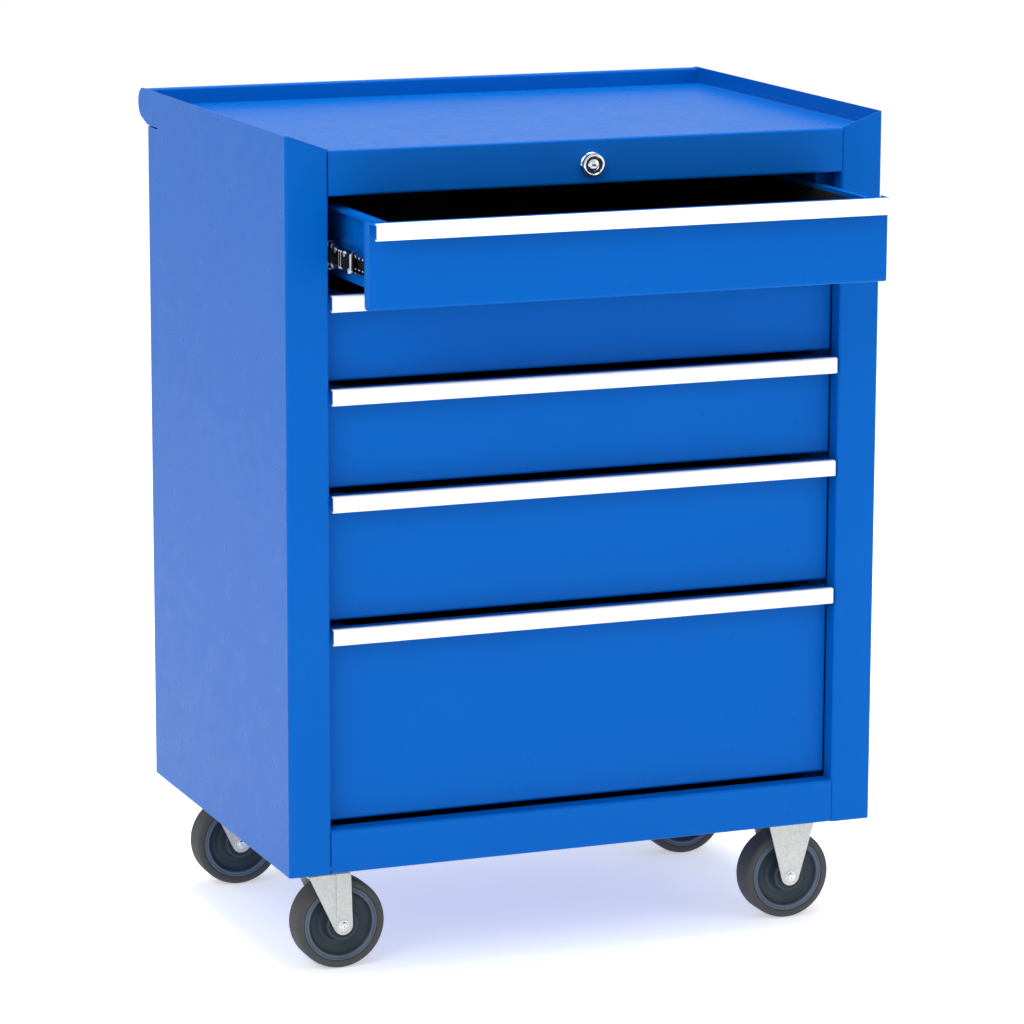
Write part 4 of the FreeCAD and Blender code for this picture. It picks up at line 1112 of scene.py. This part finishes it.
@dataclass
class Caster(Builder):
    """What fixed and swivel casters share: the axle between two legs."""

    axle_head: Profile = ((0.0, 2.0), (0.7, 2.0), (1.0, 2.6), (1.8, 2.95), (2.8, 2.85),
                          (3.8, 2.4), (4.5, 1.6), (4.7, 0.9), (5.8, 0.8), (6.0, 0.5),
                          (6.0, 0.0), (4.5, 0.0))

    def axle(self, name: str, at: Vector) -> Piece:
        """Turn an axle with a washer and a dimpled head at each end."""
        half = [(radius, -LEG_FACE - rise) for radius, rise in self.axle_head]
        return turned(name, both_ends(half), at, Axis.Y, steps=40)


@dataclass
class SwivelCaster(Caster):
    """A swivel caster's fork and axle, for one end of the chest."""

    end: str = "front"
    leg: Leg = field(default_factory=lambda: Leg(left=40.0, right=8.6, step=1.2, lean=8.0))
    crown: float = 2.5
    crown_edge: float = 1.2
    race_height: float = 8.0
    race: Profile = ((6.3, -1.0), (6.3, 7.0), (20.0, 7.4), (23.5, 8.0), (25.0, 6.8),
                     (25.0, 3.5), (24.0, 2.2), (21.0, 1.0), (19.5, -1.0))
    trail: float = 24.0

    def build(self) -> None:
        """Make the fork, the axle and the wheel."""
        body, axle_node = f"swivel_{self.end}", f"swivel_axle_{self.end}"
        fork_node = f"swivel_fork_{self.end}"
        at = middle_of(axle_node)
        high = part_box(fork_node)[1]
        self.leg.height = (high.z - at.z) / MM - self.race_height
        legs = [self.leg.build("fork_leg", at, side) for side in (-1, 1)]
        top = at + vec(0, 0, self.leg.height)
        crown = block("crown", top + vec(-self.leg.left, -LEG_FACE, -self.crown),
                      top + vec(self.leg.right, LEG_FACE, 0), self.crown_edge)
        pivot = top - vec(self.trail, 0, 0)
        cup = turned("race", self.race, pivot, Axis.Z, steps=64, ring=True)
        piece = join(f"caster_fork_{self.end}", [crown, *legs, cup])
        self.hand_over(piece, CASTER_GREY, body, fork_node)
        self.hand_over(self.axle(f"caster_axle_{self.end}", at), CASTER_BRIGHT, body,
                       axle_node)
        Wheel(name=f"swivel_wheel_{self.end}").build()


@dataclass
class FixedCasters(Caster):
    """The two fixed casters on the right."""

    leg: Leg = field(default_factory=lambda: Leg(left=31.0, right=31.0, crease_left=-7.8,
                                                 crease_right=7.8, corner=0.0, lean=6.0))
    plate: Triple = (92.0, 86.0, 3.0)
    plate_corner: float = 8.0

    def build(self) -> None:
        """Make both brackets with their axles and wheels."""
        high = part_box("fixed_caster_brackets")[1]
        brackets, axles = [], []
        for end in ("front", "rear"):
            at = middle_of(f"fixed_tyre_{end}")
            self.leg.height = (high.z - at.z) / MM - self.plate[2]
            legs = [self.leg.build("bracket_leg", at, side) for side in (-1, 1)]
            half_x, half_y, thickness = self.plate[0] / 2, self.plate[1] / 2, self.plate[2]
            corners = [at + vec(x * half_x, y * half_y, self.leg.height)
                       for x, y in ((-1, -1), (1, -1), (1, 1), (-1, 1))]
            plate = outline("plate", corners, closed=True, filled=True)
            round_corners(plate, corners, self.plate_corner * MM, steps=5)
            push(plate, vec(0, 0, thickness))
            brackets += [plate, *legs]
            axles.append(self.axle("axle", at))
            Wheel(name=f"fixed_wheel_{end}").build()
        piece = join("caster_brackets", brackets)
        self.hand_over(piece, CASTER_GREY, "cabinet", "fixed_caster_brackets")
        self.hand_over(join("caster_bracket_axles", axles), CASTER_BRIGHT, "cabinet",
                       "fixed_caster_axles")
        dress("swivel_top_plates", CASTER_GREY)
        dress("caster_bolts", ZINC)


# --- Studio ---

@dataclass
class Studio:
    """Floor, light and camera."""

    eye: Triple = (-1.8338, -4.5653, 1.4608)
    yaw: float = 21.73
    pitch: float = 11.52
    roll: float = 0.19
    lens: float = 159.37
    sensor: float = 36.0
    floor_half: float = 60.0
    floor_drop: float = 0.0005
    floor_colour: Colour = (0.88, 0.89, 0.92)
    floor_glow: float = 0.46
    sky: float = 0.60
    # Each softbox: its name, place, target, size in metres and power in watts.
    softboxes: tuple[tuple[str, Triple, Triple, float, float], ...] = (
        ("key_left", (-3.2, -2.6, 3.4), (0.0, 0.0, 0.5), 2.6, 78.0),
        ("top_soft", (0.3, 0.2, 4.2), (0.0, 0.0, 0.5), 3.0, 150.0),
        ("fill_right", (3.6, -3.2, 2.2), (0.0, 0.0, 0.5), 2.6, 24.0))

    def floor(self) -> None:
        """Lay a plain pale floor."""
        bpy.ops.object.select_all(action="DESELECT")
        bpy.ops.mesh.primitive_plane_add(size=2 * self.floor_half,
                                         location=(0, 0, -self.floor_drop))
        piece = bpy.context.object
        piece.name = piece.data.name = "studio_floor"
        shader = Shader("studio_floor_paint")
        shader.set(Base_Color=self.floor_colour, Roughness=0.9, Specular_IOR_Level=0.1,
                   Emission_Color=(1.0, 1.0, 1.0), Emission_Strength=self.floor_glow)
        piece.data.materials.append(shader.material)

    def light(self) -> None:
        """Set the sky and the softboxes."""
        world = bpy.data.worlds.new("studio_sky")
        world.use_nodes = True
        sky = world.node_tree.nodes["Background"]
        sky.inputs["Color"].default_value = (1.0, 1.0, 1.0, 1.0)
        sky.inputs["Strength"].default_value = self.sky
        bpy.context.scene.world = world
        for name, place, target, size, power in self.softboxes:
            lamp = bpy.data.lights.new(name, "AREA")
            lamp.size = size
            lamp.energy = power
            stand = bpy.data.objects.new(name, lamp)
            bpy.context.scene.collection.objects.link(stand)
            stand.location = place
            aim = Vector(target) - Vector(place)
            stand.rotation_euler = aim.to_track_quat("-Z", "Y").to_euler()

    def camera(self) -> None:
        """Set up the camera."""
        yaw, pitch, roll = (math.radians(a) for a in (self.yaw, self.pitch, self.roll))
        ahead = Vector((math.sin(yaw) * math.cos(pitch), math.cos(yaw) * math.cos(pitch),
                        -math.sin(pitch)))
        level = Vector((math.cos(yaw), -math.sin(yaw), 0))
        above = level.cross(ahead)
        right = level * math.cos(roll) + above * math.sin(roll)
        up = above * math.cos(roll) - level * math.sin(roll)
        data = bpy.data.cameras.new("studio_camera")
        data.lens = self.lens
        data.sensor_width = self.sensor
        data.clip_end = 200.0
        camera = bpy.data.objects.new("studio_camera", data)
        bpy.context.scene.collection.objects.link(camera)
        turn = Matrix((right, up, -ahead)).transposed().to_4x4()
        camera.matrix_world = Matrix.Translation(self.eye) @ turn
        bpy.context.scene.camera = camera

    def build(self) -> None:
        """Set up the whole studio."""
        self.floor()
        self.light()
        self.camera()
        bpy.context.scene.view_settings.view_transform = "Standard"


def main() -> None:
    """Build every sub-assembly in order."""
    logging.basicConfig(level=logging.INFO, format="%(name)s: %(message)s")
    Shell().build()
    for number in (1, 2, 3, 4, 5):
        Drawer(number=number).build()
    Slides().build()
    CamLock().build()
    for end in ("front", "rear"):
        SwivelCaster(end=end).build()
    FixedCasters().build()
    Studio().build()


if __name__ == "__main__":
    main()
